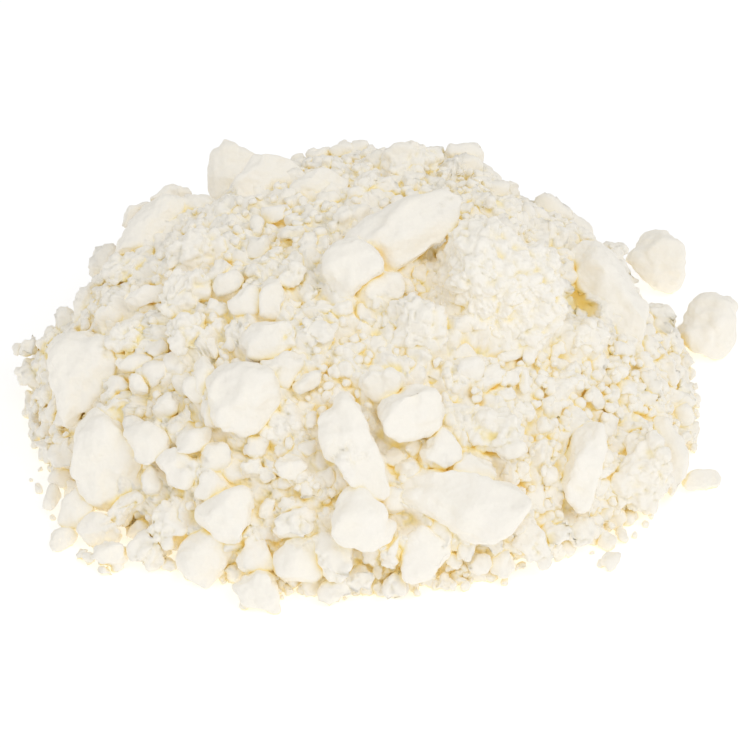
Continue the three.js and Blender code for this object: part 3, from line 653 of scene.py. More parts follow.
# Small crumbs of the heap: where the middle is seen, then width and height, all in pixels
SMALL_SEEN = (
    (222, 223, 20, 16), (235, 222, 24, 20), (305, 205, 10, 15), (293, 221, 16, 14), (258, 230, 16, 21),
    (308, 246, 20, 22), (311, 292, 20, 20), (218, 308, 20, 20), (290, 314, 19, 15), (231, 341, 15, 22),
    (213, 347, 13, 22), (279, 391, 11, 11), (560, 252, 10, 10), (609, 408, 11, 11), (477, 192, 16, 14),
    (462, 186, 14, 14), (511, 190, 15, 17), (565, 212, 19, 17), (615, 257, 17, 24), (598, 330, 16, 16),
    (660, 338, 11, 25), (51, 330, 13, 9), (17, 349, 9, 12), (46, 394, 18, 16), (54, 407, 14, 22),
    (52, 440, 14, 11), (131, 454, 15, 22), (143, 319, 22, 13), (175, 363, 20, 24), (158, 373, 26, 22),
    (178, 427, 20, 18), (160, 264, 18, 15), (158, 280, 15, 12), (452, 422, 18, 15), (467, 411, 15, 13),
    (512, 378, 15, 20), (525, 382, 13, 24), (543, 425, 16, 18), (520, 352, 40, 12), (688, 373, 13, 13),
    (688, 430, 14, 9), (643, 363, 20, 18), (656, 411, 17, 18), (648, 345, 16, 16), (104, 570, 11, 11),
    (115, 566, 11, 11), (83, 554, 12, 12), (90, 560, 12, 12), (137, 530, 25, 18), (169, 565, 14, 14),
    (155, 490, 18, 20), (245, 605, 10, 10), (291, 505, 20, 17), (370, 555, 18, 20), (378, 571, 15, 15),
    (379, 587, 12, 17), (253, 468, 20, 18), (268, 473, 15, 15), (268, 510, 14, 22), (262, 530, 22, 17),
    (453, 560, 15, 13), (508, 548, 20, 16), (521, 566, 10, 10), (313, 156, 12, 12), (327, 154, 13, 12),
    (383, 157, 11, 22), (438, 151, 13, 12),
)

# Lumps that lie by themselves on the ground
LOOSE_LUMPS = (
    ("loose_upper_right", (655, 262), (12.6, 11.4, 10.5), 10),
    ("loose_right", (705, 327), (12.8, 11.4, 10.5), 80),
    ("loose_low_right", (705, 485), (8, 3.8, 4.2), 8),
    ("loose_low_left", (62, 539), (5.2, 3.6, 3.6), -10),
    ("loose_front", (258, 591), (8, 7.2, 6.6), 20),
)

# Crumbs scattered on the ground: where they are seen and how wide they are, in pixels
FLOOR_CRUMBS = (
    (697, 302, 8), (677, 240, 4), (692, 445, 7), (39, 488, 11), (40, 469, 6), (53, 518, 6),
    (31, 480, 4), (288, 590, 12), (282, 597, 5), (224, 582, 6), (232, 577, 8), (313, 589, 6),
    (345, 598, 5), (354, 594, 5), (505, 582, 10),
    (569, 552, 9), (592, 553, 5), (614, 505, 16), (606, 515, 14), (599, 527, 9), (607, 525, 8),
    (619, 523, 10), (631, 516, 14), (608, 542, 18), (622, 536, 14), (635, 535, 7), (611, 561, 20),
    (603, 563, 10), (189, 576, 12), (91, 558, 9), (83, 554, 9), (104, 570, 10), (114, 566, 9),
    (169, 565, 12), (645, 524, 8), (651, 516, 6), (596, 540, 6), (545, 566, 5), (560, 556, 5),
)

# Dents pressed in from the viewer's side: where each is seen, its half width and half height in
# pixels, its turn, its depth in mm and how steep its sides are
DENTS = (
    ((580, 276), (26, 24), -30, 2.2, 1.5),
    ((581, 303), (23, 10), -35, 5.0, 0.8),
)
# How far in mm before and behind the mound they reach, and a depth that is kept free of crumbs
DENT_REACH = 14
DEEP_DENT = 1.5

# The skyline of the small crumbs and of what lies under them, in pixels, from left to right
SKYLINE = (
    (20, 378), (46, 345), (82, 312), (98, 280), (120, 260), (142, 236), (168, 218), (190, 210),
    (214, 206), (250, 172), (264, 164), (300, 160), (330, 153), (360, 148), (400, 153),
    (440, 153), (482, 156), (490, 171), (502, 190), (530, 201), (556, 213), (576, 226), (592, 245),
    (615, 259), (628, 283), (640, 310), (668, 313), (676, 340), (692, 362), (697, 405),
)
# How high in its size a lump's top is, as it is held under the skyline
LUMP_TOP = 0.45
# The share that the bed may stay over it, and how much lower in mm the bed starts out
SKYLINE_SOFTNESS = 0.2
SKYLINE_MARGIN = 1.0


class Lump:
    """A broken lump: its size, its middle, its axes as columns, its flats and how it broke."""

    def __init__(self, size, centre, axes, draw, taper=0.0, broke="smooth"):
        self.size = np.array(size, float)
        self.centre = np.array(centre, float)
        self.axes = axes
        self.taper = taper
        self.broke = broke
        self.draw = draw
        self.outline = None

    @property
    def outlined(self):
        return self.outline is not None

    def set_flats(self):
        """Draws the flats, after everything else that its draws decide."""
        self.flats = broken_flats(self.draw)

    def follow(self, outline, pixel):
        """Gives it the flats of an outline, as it is seen round its middle."""
        self.outline = np.array(outline, float)
        self.flats = outlined_flats(self.outline, pixel, self.size[2] / 2, self.draw)


def draws(seed):
    """Numbers from 0 to 1, the same ones for a seed as in the CAD."""
    whole = 4294967296
    state = (seed * 2654435761) % whole

    def draw():
        nonlocal state
        state = (state * 1664525 + 1013904223) % whole
        return state / whole

    return draw


def between(draw, low, high):
    return low + (high - low) * draw()


def any_direction(draw):
    z = between(draw, -1, 1)
    around = between(draw, 0, 2 * math.pi)
    flat = math.sqrt(1 - z * z)
    return np.array([flat * math.cos(around), flat * math.sin(around), z])


def unit(vector):
    return vector / np.linalg.norm(vector)


def unit_rows(vectors):
    return vectors / np.linalg.norm(vectors, axis=-1, keepdims=True)


def broken_flats(draw):
    """The flats of a lump, a row each: the way it faces, then how far out it is."""
    flats = []
    for axis in range(3):
        for side in (-1, 1):
            facing = any_direction(draw) * SIDE_LEAN
            facing[axis] += side
            flats.append((*unit(facing), between(draw, *SIDE_REACH)))
    for _ in range(EXTRA_FLATS):
        flats.append((*any_direction(draw), between(draw, *EXTRA_REACH)))
    return np.array(flats)


def outlined_flats(outline, pixel, half_depth, draw):
    """The flats of a lump with an outline, a row each: the way it faces, then how far out it is
    in mm. They stand on the sides of the outline, with some more in front and behind."""
    corners = (outline - pixel) * MM_PER_PIXEL * (1, -1)
    middle = corners.mean(0)
    flats = []
    for start, end in zip(corners, np.roll(corners, -1, 0)):
        facing = unit(np.array([end[1] - start[1], start[0] - end[0]]))
        if facing @ ((start + end) / 2 - middle) < 0:
            facing = -facing
        reach = (corners @ facing).max() * OUTLINE_GROWTH
        lean = between(draw, -OUTLINE_LEAN, OUTLINE_LEAN)
        flats.append((*unit(RIGHT * facing[0] + UP * facing[1] + BACK * lean), reach))
    spread = (corners @ LEDGE[:2]).max() + half_depth * LEDGE[2]
    facing = unit(RIGHT * LEDGE[0] + UP * LEDGE[1] + BACK * LEDGE[2])
    flats.append((*facing, spread * between(draw, *LEDGE_SHARE)))
    for side in (-1, 1):
        for _ in range(FACES_EACH_SIDE):
            lean = np.array([between(draw, -FACE_LEAN, FACE_LEAN) for _ in range(2)])
            lean *= min(1, MOST_CUT * half_depth / (corners @ lean).max())
            facing = unit(BACK * side + RIGHT * lean[0] + UP * lean[1])
            flats.append((*facing, half_depth * between(draw, *FACE_REACH)))
    return np.array(flats)


def outside(points):
    """How far points are outside the mound: 0 on it and below 0 inside."""
    away = (points - MOUND_CENTRE) / MOUND_REACH
    high = np.maximum(away[..., 2], 0) ** (1 / MOUND_FALL)
    return away[..., 0] ** 2 + away[..., 1] ** 2 + high - 1


def mound_point(across, along):
    """The mound's surface over places in plan, given from -1 to 1 each way."""
    high = np.maximum(0, 1 - across**2 - along**2) ** MOUND_FALL
    return MOUND_CENTRE + MOUND_REACH * np.stack([across, along, high], -1)


def mound_normal(point):
    here = outside(point)
    slopes = [outside(point + np.eye(3)[axis] * NORMAL_STEP) - here for axis in range(3)]
    return unit_rows(np.stack(slopes, -1))


def sight_line(pixel):
    column, row = pixel
    spread = MM_PER_PIXEL / DISTANCE
    across = (column - PICTURE_MIDDLE) * spread
    upwards = (PICTURE_MIDDLE - row) * spread
    return unit(RIGHT * across + UP * upwards - BACK)


def seen_pixels(points):
    """Where points are seen, in pixels, and how far they are from the viewer."""
    away = points - EYE
    depth = -(away @ BACK)
    across, upwards = (away @ RIGHT) / depth, (away @ UP) / depth
    spread = MM_PER_PIXEL / DISTANCE
    seen = np.stack([PICTURE_MIDDLE + across / spread, PICTURE_MIDDLE - upwards / spread], -1)
    return seen, np.linalg.norm(away, axis=-1)


def over_skyline(points):
    """How far in mm points have to sink to be under the skyline."""
    seen, far = seen_pixels(points)
    columns, rows = np.array(SKYLINE).T
    limit = np.interp(seen[..., 0], columns, rows, left=0, right=0)
    short = np.maximum(0, limit - seen[..., 1]) * MM_PER_PIXEL * far / DISTANCE
    return short / math.cos(ELEVATION)


def seen_on_mound(pixel):
    """Where a line of sight first meets the mound, or passes it most closely."""
    reaches = DISTANCE + np.arange(-SIGHT_SPAN, SIGHT_SPAN, SIGHT_STEP)
    along = EYE + sight_line(pixel) * reaches[:, None]
    gaps = outside(along)
    met = np.nonzero(gaps <= 0)[0]
    return along[met[0] if len(met) else np.argmin(gaps)]


def seen_axes(turn, lean=0.0):
    """A lump's own axes, with its length turned from level in the viewer's picture."""
    angle = math.radians(turn)
    length = unit(RIGHT * math.cos(angle) + UP * math.sin(angle) + BACK * lean)
    width = unit(np.cross(BACK, length))
    return np.stack([length, width, np.cross(length, width)], 1)


def lean_on_mound(turn, normal):
    """The lean that lays a lump's length along the mound."""
    facing = normal @ BACK
    if facing < LEAST_FACING:
        return 0.0
    angle = math.radians(turn)
    rise = math.cos(angle) * (normal @ RIGHT) + math.sin(angle) * (normal @ UP)
    return float(np.clip(-rise / facing, -MOST_LEAN, MOST_LEAN))


def lying_axes(normal, draw):
    length = unit(np.cross(any_direction(draw), normal))
    return np.stack([length, np.cross(normal, length), normal], 1)


def lowest_for(size, axes):
    """How low a lump's middle may be, so that the ground cuts off little of it."""
    return GROUND_SHARE * np.linalg.norm(axes[2] * size) / 2


def heap_lump(row, index):
    """A lump of the table, on the mound where it is seen."""
    name, pixel, size, turn, more = row
    line = sight_line(pixel)
    centre = seen_on_mound(pixel)
    lean = lean_on_mound(turn, mound_normal(centre))
    axes = seen_axes(turn, lean)
    size = np.array([size[0] * math.hypot(1, lean), size[1], size[2]])
    centre = centre - line * more.get("lift", LIFT_SHARE * size[2])
    short = lowest_for(size, axes) - centre[2]
    if short > 0:
        centre = centre + line * (short / line[2])
    usual = "pressed" if name in OUTLINES and size[0] > PRESSED_FROM else "smooth"
    broke = more.get("broke", usual)
    lump = Lump(size, centre, axes, draws(index + 1), more.get("taper", 0.0), broke)
    lump.set_flats()
    if name in OUTLINES:
        lump.follow(OUTLINES[name], pixel)
        lump.centre = lump.centre - line * MORE_LIFT
    return lump


def small_lump(row, index):
    """A small crumb where it is seen, a little longer than it is deep."""
    column, line, wide, high = row
    turn = 90 if high > wide else 0
    long, short = max(wide, high) * MM_PER_PIXEL, min(wide, high) * MM_PER_PIXEL
    tilt = SMALL_TILT * math.sin(SMALL_TILT_STEP * index)
    size = (long, short, short * SMALL_DEPTH)
    seen = ("", (column, line), size, turn + tilt, {"broke": "crumb"})
    return heap_lump(seen, SMALL_SEED + index)


def crowds(lump, centre, radius):
    away = lump.axes.T @ (centre - lump.centre)
    return np.linalg.norm(away / (lump.size / 2 + radius)) < FILL_CLOSENESS


def fill_lumps(there):
    """Lumps of falling size wherever the mound is still bare, the same ones as in the CAD."""
    draw = draws(FILL_SEED)
    everything = list(there)
    for size, throws, most_facing in FILL_STEPS:
        for _ in range(throws):
            around = between(draw, 0, 2 * math.pi)
            high = between(draw, FILL_LOWEST, 1)
            out = math.sqrt(1 - high * high)
            centre = mound_point(np.array(out * math.cos(around)), np.array(out * math.sin(around)))
            long = size * between(draw, 1 - FILL_SPREAD, 1 + FILL_SPREAD)
            wide = long * between(draw, *FILL_WIDTH)
            deep = long * between(draw, *FILL_DEPTH)
            seed = FILL_SEED + 1 + len(everything)
            normal = mound_normal(centre)
            if normal @ BACK > most_facing:
                continue
            if any(crowds(lump, centre, wide / 2) for lump in everything):
                continue
            own = draws(seed)
            axes = lying_axes(normal, own)
            lump = Lump((long, wide, deep), centre, axes, own)
            lump.set_flats()
            if size == FILL_STEPS[-1][0]:
                lump.size = lump.size * LAST_FILL_SHARE
                lump.broke = "crumb"
            lump.centre[2] = max(centre[2], lowest_for(lump.size, axes))
            everything.append(lump)
    return everything[len(there):]


def loose_lump(row, index):
    """A lump on the ground where it is seen."""
    name, pixel, size, turn = row
    axes = seen_axes(turn)
    lump = Lump(size, np.zeros(3), axes, draws(LOOSE_SEED + index), 0.0, "pressed")
    lump.set_flats()
    lump.follow(OUTLINES[name], pixel)
    lowest = shaped([lump], ball(LEAST_DETAIL))[0][..., 2].min()
    line = sight_line(pixel)
    reach = (-lowest - REST_FLAT - EYE[2]) / line[2]
    lump.centre = EYE + line * reach
    return lump


def floor_crumb(row, index):
    """A crumb that lies on the ground where it is seen."""
    column, line, wide = row
    sight = sight_line((column, line))
    long = wide * MM_PER_PIXEL
    own = draws(FLOOR_SEED + index)
    middle = EYE - sight * ((EYE[2] - long * FLOOR_CRUMB_HEIGHT) / sight[2])
    axes = lying_axes(np.array([0.0, 0.0, 1.0]), own)
    size = (long, long * between(own, *CRUMB_WIDTH), long * between(own, *CRUMB_WIDTH))
    crumb = Lump(size, middle, axes, own, 0.0, "crumb")
    crumb.set_flats()
    return crumb


def ball(detail):
    """A round ball of small triangles: its points, and its faces."""
    bm = bmesh.new()
    bmesh.ops.create_icosphere(bm, subdivisions=detail, radius=1.0)
    points = np.array([vert.co[:] for vert in bm.verts])
    faces = np.array([[vert.index for vert in face.verts] for face in bm.faces])
    bm.free()
    return points / np.linalg.norm(points, axis=1, keepdims=True), faces


def shaped(lumps, sphere):
    """The points of lumps, lumps by points by 3, each cut by its flats and drawn to its size."""
    directions = sphere[0]
    made = []
    for lump in lumps:
        if lump.outlined:
            made.append(hewn(lump, directions))
            continue
        towards = np.maximum(0, directions @ lump.flats[:, :3].T) / lump.flats[:, 3]
        total = ROUND_LIMIT**-CRISPNESS + (towards**CRISPNESS).sum(1)
        points = directions * (total ** (-1 / CRISPNESS))[:, None]
        points[:, 1:] *= 1 + lump.taper * points[:, :1]
        low, high = points.min(0), points.max(0)
        points = (points - (low + high) / 2) * (lump.size / (high - low))
        made.append(points @ lump.axes.T + lump.centre)
    return np.array(made), sphere[1]


def hewn(lump, directions):
    """The points of a lump that its flats cut out of space."""
    ways = unit_rows((directions * lump.size) @ lump.axes.T)
    towards = np.maximum(0, ways @ lump.flats[:, :3].T) / lump.flats[:, 3]
    crispness = OUTLINE_CRISPNESS
    total = lump.size.max() ** -crispness + (towards**crispness).sum(1)
    return ways * (total ** (-1 / crispness))[:, None] + lump.centre


def normals_of(points, faces):
    """The outward normal at each point, for lumps that share their faces."""
    corners = points[:, faces]
    across = np.cross(corners[:, :, 1] - corners[:, :, 0], corners[:, :, 2] - corners[:, :, 0])
    normals = np.zeros_like(points)
    for corner in range(3):
        np.add.at(normals, (slice(None), faces[:, corner]), across)
    return normals / (np.linalg.norm(normals, axis=-1, keepdims=True) + 1e-12)


def scattered_number(cells, salt):
    """A number from 0 to 1 that belongs to each whole-numbered cell."""
    mask = 0xFFFFFFFF
    x, y, z = (cells[..., axis] & mask for axis in range(3))
    mixed = (x * 73856093 ^ y * 19349663 ^ z * 83492791 ^ salt * 2654435761) & mask
    mixed ^= mixed >> 15
    mixed = (mixed * 2246822519) & mask
    mixed ^= mixed >> 13
    mixed = (mixed * 3266489917) & mask
    mixed ^= mixed >> 16
    return mixed / mask


def swell(points, size, salt):
    """Soft noise from -1 to 1 with swells of a size."""
    places = points / size
    cells = np.floor(places).astype(np.int64)
    part = places - cells
    part = part * part * (3 - 2 * part)
    total = np.zeros(points.shape[:-1])
    for corner in np.ndindex(2, 2, 2):
        offset = np.array(corner)
        weight = np.where(offset == 1, part, 1 - part).prod(-1)
        total += weight * scattered_number(cells + offset, salt)
    return total * 2 - 1


def warped(points, size, amount, salt):
    """Points pushed about by swells of a size, so that a pattern on them bends."""
    push = np.stack([swell(points, size, salt + axis) for axis in range(3)], -1)
    return points + push * amount


def scattered_points(places, salt):
    """A point drawn in every cell round each place, 27 of them: the cell, and how far the place
    is from the point."""
    cells = np.floor(places).astype(np.int64)
    for offset in np.ndindex(3, 3, 3):
        cell = cells + (np.array(offset) - 1)
        middle = cell + np.stack([scattered_number(cell, salt + axis) for axis in range(3)], -1)
        yield cell, np.linalg.norm(places - middle, axis=-1)


def knobs(points, size, salt):
    """Round knobs of uneven size half sunk in a surface: their height in mm, up to about half
    of the size given, and 0 between them."""
    places = warped(points, size * PATTERN_WARP_SIZE, size * KNOB_WARP, salt + 5) / size
    height = np.zeros(points.shape[:-1])
    least, more = KNOB_REACH
    for cell, apart in scattered_points(places, salt):
        reach = least + more * scattered_number(cell, salt + 3)
        inside = np.maximum(0, 1 - (apart / reach) ** 2)
        height = np.maximum(height, reach * inside**KNOB_ROUNDNESS)
    return height * size * KNOB_HEIGHT


def cobbles(points, size, salt):
    """Lumps packed side by side, of uneven height, with narrow cracks between them: their height
    in mm, which is 0 in the cracks."""
    places = warped(points, size * PATTERN_WARP_SIZE, size * COBBLE_WARP, salt + 5) / size
    first = np.full(points.shape[:-1], np.inf)
    second = first.copy()
    level = np.zeros_like(first)
    for cell, apart in scattered_points(places, salt):
        nearer = apart < first
        second = np.where(nearer, first, np.minimum(second, apart))
        level = np.where(nearer, scattered_number(cell, salt + 3), level)
        first = np.where(nearer, apart, first)
    edge = 1 - np.minimum((second - first) / CRACK_WIDTH, 1)
    least, more = COBBLE_HEIGHT
    return size * (least + more * level) * (1 - edge * edge)


def layered(points, layers):
    """The height in mm of a relief that is given in layers."""
    kinds = {"swell": swell, "knobs": knobs, "cobbles": cobbles}
    return sum(
        share * (kinds[kind](points, size, salt) - level)
        for kind, size, share, level, salt in layers
    )


def relief(points, torn):
    """The height of a lump's surface, where a share of it is torn and the rest pressed."""
    patch = layered(points, TORN_PATCHES)
    share = np.clip((patch - 1 + 2 * torn) / PATCH_EDGE + 0.5, 0, 1)
    return layered(points, PRESSED_FACE) * (1 - share) + layered(points, TORN_FACE) * share


def creases(points, lumps):
    """Soft creases along the length of each lump."""
    own = np.array([(part - lump.centre) @ lump.axes for part, lump in zip(points, lumps)])
    return layered(own * CREASE_STRETCH + CREASE_SHIFT, CREASES)


def bend_size(lump):
    """The size that a lump's bends go by: its own, or less to keep to its outline."""
    if not lump.outlined:
        return lump.size.mean()
    return lump.size.mean() * (PRESSED_BEND if lump.broke == "pressed" else OUTLINED_BEND)


def bent(points, lumps):
    """Lumps bent out of true, each by swells in proportion to its size."""
    sizes = np.array([bend_size(lump) for lump in lumps])[:, None, None]
    for share, amount in BENDS:
        places = points / sizes
        bend = np.stack([swell(places, share, salt) for salt in BEND_SALTS], -1)
        points = points + bend * sizes * amount
    return points


def broken(lumps, detail, broke):
    """Lumps that broke one way, with their relief, as points of every lump and one ball's faces."""
    points, faces = shaped(lumps, ball(detail))
    points = bent(points, lumps)
    thin = np.array([lump.size.min() for lump in lumps])
    normals = normals_of(points, faces)
    height = relief(points, TORN_SHARE[broke]) * np.minimum(1, thin / FULL_RELIEF)[:, None]
    if broke == "pressed":
        height += creases(points, lumps)
    points = dented(points + normals * height[..., None])
    over = np.maximum(points[..., 2] - TOP_START, 0)
    points[..., 2] = np.maximum(points[..., 2] - over * (1 - TOP_SHARE), 0)
    return points, faces


def clumped(crumbs):
    """Crumbs raised where they cling together in clumps, and lowered between."""
    rises = layered(np.array([crumb.centre for crumb in crumbs]), CLUMPS)
    for crumb, rise in zip(crumbs, rises):
        crumb.centre = crumb.centre + mound_normal(crumb.centre) * rise
        crumb.centre[2] = max(crumb.centre[2], lowest_for(crumb.size, crumb.axes))
    return crumbs


def settled_crumbs(lumps):
    """Crumbs of falling size that come to rest in the gaps between lumps and between each other."""
    chance = np.random.default_rng(CRUMB_SEED)
    centres = [lump.centre for lump in lumps]
    halves = [lump.size / 2 for lump in lumps]
    turns = [lump.axes.T for lump in lumps]
    crumbs = []
    for size, throws, highest in CRUMB_STEPS:
        around = chance.uniform(0, 2 * math.pi, throws)
        high = chance.uniform(0.0, 1, throws)
        out = np.sqrt(1 - high * high)
        places = mound_point(out * np.cos(around), out * np.sin(around))
        normals = mound_normal(places)
        longs = size * chance.uniform(1 - CRUMB_SPREAD, 1 + CRUMB_SPREAD, throws)
        there = np.array(centres), np.array(halves), np.array(turns)
        for place, normal, long in zip(places, normals, longs):
            if len(centres) > len(there[0]):
                there = grown(there, centres, halves, turns)
            radius = long * CRUMB_RADIUS * CRUMB_PACKING
            rest = max(resting_height(place, normal, radius, there), -CRUMB_SINK * radius)
            if rest > highest:
                continue
            centre = place + normal * rest
            own = draws(int(chance.integers(1, 1 << 20)))
            wide = long * between(own, *CRUMB_WIDTH)
            deep = long * between(own, *CRUMB_WIDTH)
            axes = lying_axes(normal, own)
            crumb = Lump((long, wide, deep), centre, axes, own, 0.0, "crumb")
            crumb.set_flats()
            crumb.centre[2] = max(centre[2], lowest_for(crumb.size, axes))
            centres.append(crumb.centre)
            halves.append(crumb.size / 2)
            turns.append(axes.T)
            crumbs.append(crumb)
    return crumbs


def sunk(lumps):
    """Lumps lowered until they are under the skyline, without those that this buries."""
    for lump in lumps:
        top = lump.centre + UP * lump.size.mean() * LUMP_TOP
        lump.centre[2] -= over_skyline(top)
    return [lump for lump in lumps if lump.centre[2] > lump.size.min() / 3]


def clear_of(lumps, seen_lumps):
    """The lumps that don't hide one whose outline is given, or lie in a deep dent."""
    centres = np.array([lump.centre for lump in lumps])
    pixels, far = seen_pixels(centres)
    hides = np.linalg.norm(dented(centres) - centres, axis=1) > DEEP_DENT
    for other in seen_lumps:
        corners = other.outline
        middle = corners.mean(0)
        inside = np.ones(len(lumps), bool)
        for start, end in zip(corners, np.roll(corners, -1, 0)):
            facing = unit(np.array([start[1] - end[1], end[0] - start[0]]))
            reach = (start - middle) @ facing
            if reach < 0:
                facing, reach = -facing, -reach
            inside &= (pixels - middle) @ facing < reach * CLEAR_SHARE
        hides |= inside & (far < np.linalg.norm(other.centre - EYE) + CLEAR_DEPTH)
    return [lump for lump, hid in zip(lumps, hides) if not hid]


def grown(there, centres, halves, turns):
    known = len(there[0])
    new = centres[known:], halves[known:], turns[known:]
    return tuple(np.concatenate([old, np.array(more)]) for old, more in zip(there, new))


def resting_height(place, normal, radius, there):
    """How high over a place a ball comes to rest on what is there."""
    centres, halves, turns = there
    near = np.abs(centres - place).max(1) < CROWD_REACH
    room = halves[near] + radius
    start = np.einsum("nij,nj->ni", turns[near], place - centres[near]) / room
    way = np.einsum("nij,j->ni", turns[near], normal) / room
    a = (way * way).sum(1)
    b = (start * way).sum(1)
    c = (start * start).sum(1) - 1
    inner = b * b - a * c
    hit = inner > 0
    if not hit.any():
        return -math.inf
    return ((-b[hit] + np.sqrt(inner[hit])) / a[hit]).max()


def joined_mesh(name, groups):
    """One mesh from groups of lumps, each with its points and the faces that they share."""
    points, faces, known = [], [], 0
    for group_points, group_faces in groups:
        count, each = group_points.shape[:2]
        starts = known + np.arange(count) * each
        faces.append((group_faces[None] + starts[:, None, None]).reshape(-1, 3))
        points.append(group_points.reshape(-1, 3))
        known += count * each
    points = np.concatenate(points)
    faces = np.concatenate(faces)
    mesh = bpy.data.meshes.new(name)
    mesh.vertices.add(len(points))
    mesh.vertices.foreach_set("co", (points * MM).ravel())
    mesh.loops.add(faces.size)
    mesh.loops.foreach_set("vertex_index", faces.ravel())
    mesh.polygons.add(len(faces))
    mesh.polygons.foreach_set("loop_start", np.arange(0, faces.size, 3))
    mesh.polygons.foreach_set("use_smooth", np.ones(len(faces), bool))
    mesh.update(calc_edges=True)
    piece = bpy.data.objects.new(name, mesh)
    bpy.context.scene.collection.objects.link(piece)
    print(name, len(faces), "triangles")
    return piece


def dented(points):
    """Points pushed away from the viewer where there is a dent."""
    seen, far = seen_pixels(points)
    for pixel, half, turn, depth, steepness in DENTS:
        angle = math.radians(turn)
        across, down = seen[..., 0] - pixel[0], seen[..., 1] - pixel[1]
        long = (across * math.cos(angle) - down * math.sin(angle)) / half[0]
        wide = (across * math.sin(angle) + down * math.cos(angle)) / half[1]
        share = np.clip(1 - long**2 - wide**2, 0, 1) ** steepness
        apart = far - np.linalg.norm(seen_on_mound(pixel) - EYE)
        share = share * np.clip(2 - np.abs(apart) / DENT_REACH, 0, 1)
        points = points - BACK * (depth * share)[..., None]
    return points


def half_thickness(groups):
    """How far in from each point the middle of its lump is, at the least."""
    parts = []
    for points, _ in groups:
        span = (points.max(1) - points.min(1)).min(-1) / 2
        parts.append(np.repeat(span, points.shape[1]))
    return np.concatenate(parts)


def closed_net(cuts):
    """A square net from -1 to 1 each way, with faces underneath: its points and its faces. Its
    corner cells are split through their corners, so that no face underneath lies on another."""
    bm = bmesh.new()
    bmesh.ops.create_grid(bm, x_segments=cuts, y_segments=cuts, size=1.0)
    for corner in [vert for vert in bm.verts if len(vert.link_faces) == 1]:
        cell = corner.link_faces[0]
        opposite = max(cell.verts, key=lambda vert: (vert.co - corner.co).length)
        bmesh.utils.face_split(cell, corner, opposite)
    bmesh.ops.holes_fill(bm, edges=[edge for edge in bm.edges if edge.is_boundary], sides=0)
    bmesh.ops.triangulate(bm, faces=bm.faces[:])
    flat = np.array([vert.co[:2] for vert in bm.verts])
    faces = np.array([[vert.index for vert in face.verts] for face in bm.faces])
    bm.free()
    return flat, faces


def half_ball(flat):
    """The points of a square net laid over the upper half of a ball, its sides on the level."""
    square = np.abs(flat).max(1)
    wedge = np.where(np.abs(flat[:, 0]) >= np.abs(flat[:, 1]), 0, 1)
    lead = flat[np.arange(len(flat)), wedge]
    side = flat[np.arange(len(flat)), 1 - wedge]
    ratio = np.divide(side, lead, out=np.zeros_like(side), where=lead != 0)
    around = np.where(wedge == 0, ratio * math.pi / 4, math.pi / 2 - ratio * math.pi / 4)
    down = square * math.pi / 2
    out = np.sin(down) * np.sign(lead)
    return np.stack([out * np.cos(around), out * np.sin(around), np.cos(down)], -1)


def risen(points, outward, full, insides):
    """How far the bed rises from each point: out to where the space is less than BED_FULL full,
    less at the foot and under the larger lumps, and in clumps."""
    height = np.full(len(points), BED_MOST)
    rising = np.ones(len(points), bool)
    before = np.ones(len(points))
    for step in np.arange(0, BED_MOST, BED_STEP):
        left = np.nonzero(rising)[0]
        fullness = read_grid(full, points[left] + outward[left] * step)
        empty = fullness < BED_FULL
        short = (BED_FULL - fullness) / np.maximum(before[left] - fullness, LEAST_FALL)
        height[left[empty]] = np.maximum(0, step - BED_STEP * short[empty])
        before[left] = fullness
        rising[left[empty]] = False
    height -= FOOT_RECESS * np.clip(1 - points[:, 2] / FOOT_HEIGHT, 0, 1)
    height += layered(points + outward * height[:, None], CLUMPS)
    under = read_grid(insides, points + outward * height[:, None])
    height -= BED_UNDER * np.clip((under - UNDER_FROM) / UNDER_SPAN, 0, 1)
    return evened(height, BED_CUTS + 1)


def bed(full, insides):
    """The curd that the lumps stick in: it fills what lies between them and is grainy all over,
    on a flat underside."""
    flat, faces = closed_net(BED_CUTS)
    flat[:, 1] -= FRONT_SHARE * (1 - flat[:, 1] ** 2)
    dome = half_ball(flat)
    rim = dome[:, 2] < RIM_HEIGHT
    dome[:, 2] **= 2 * MOUND_FALL
    points = MOUND_CENTRE + (MOUND_REACH - BED_START) * dome
    outward = mound_normal(points)
    points[:, 2] -= over_skyline(points + UP * SKYLINE_MARGIN)
    points = dented(points + outward * risen(points, outward, full, insides)[:, None])
    points[:, 2] -= over_skyline(points) * (1 - SKYLINE_SOFTNESS)
    points = points + outward * layered(points, BED_FACE)[:, None]
    points[:, 2] = np.where(rim, 0, np.maximum(points[:, 2], 0))
    return points[None], faces


def evened(height, across):
    """Heights over a square grid, each the mean of it and its neighbours, twice over."""
    square = height.reshape(across, across)
    for _ in range(2):
        wider = np.pad(square, 1, mode="edge")
        parts = [wider[i:i + across, j:j + across] for i in range(3) for j in range(3)]
        square = sum(parts) / len(parts)
    return square.ravel()


def empty_grid():
    counts = np.ceil((GRID_HIGH - GRID_LOW) / GRID_STEP).astype(int)
    return np.zeros(counts, np.float32)


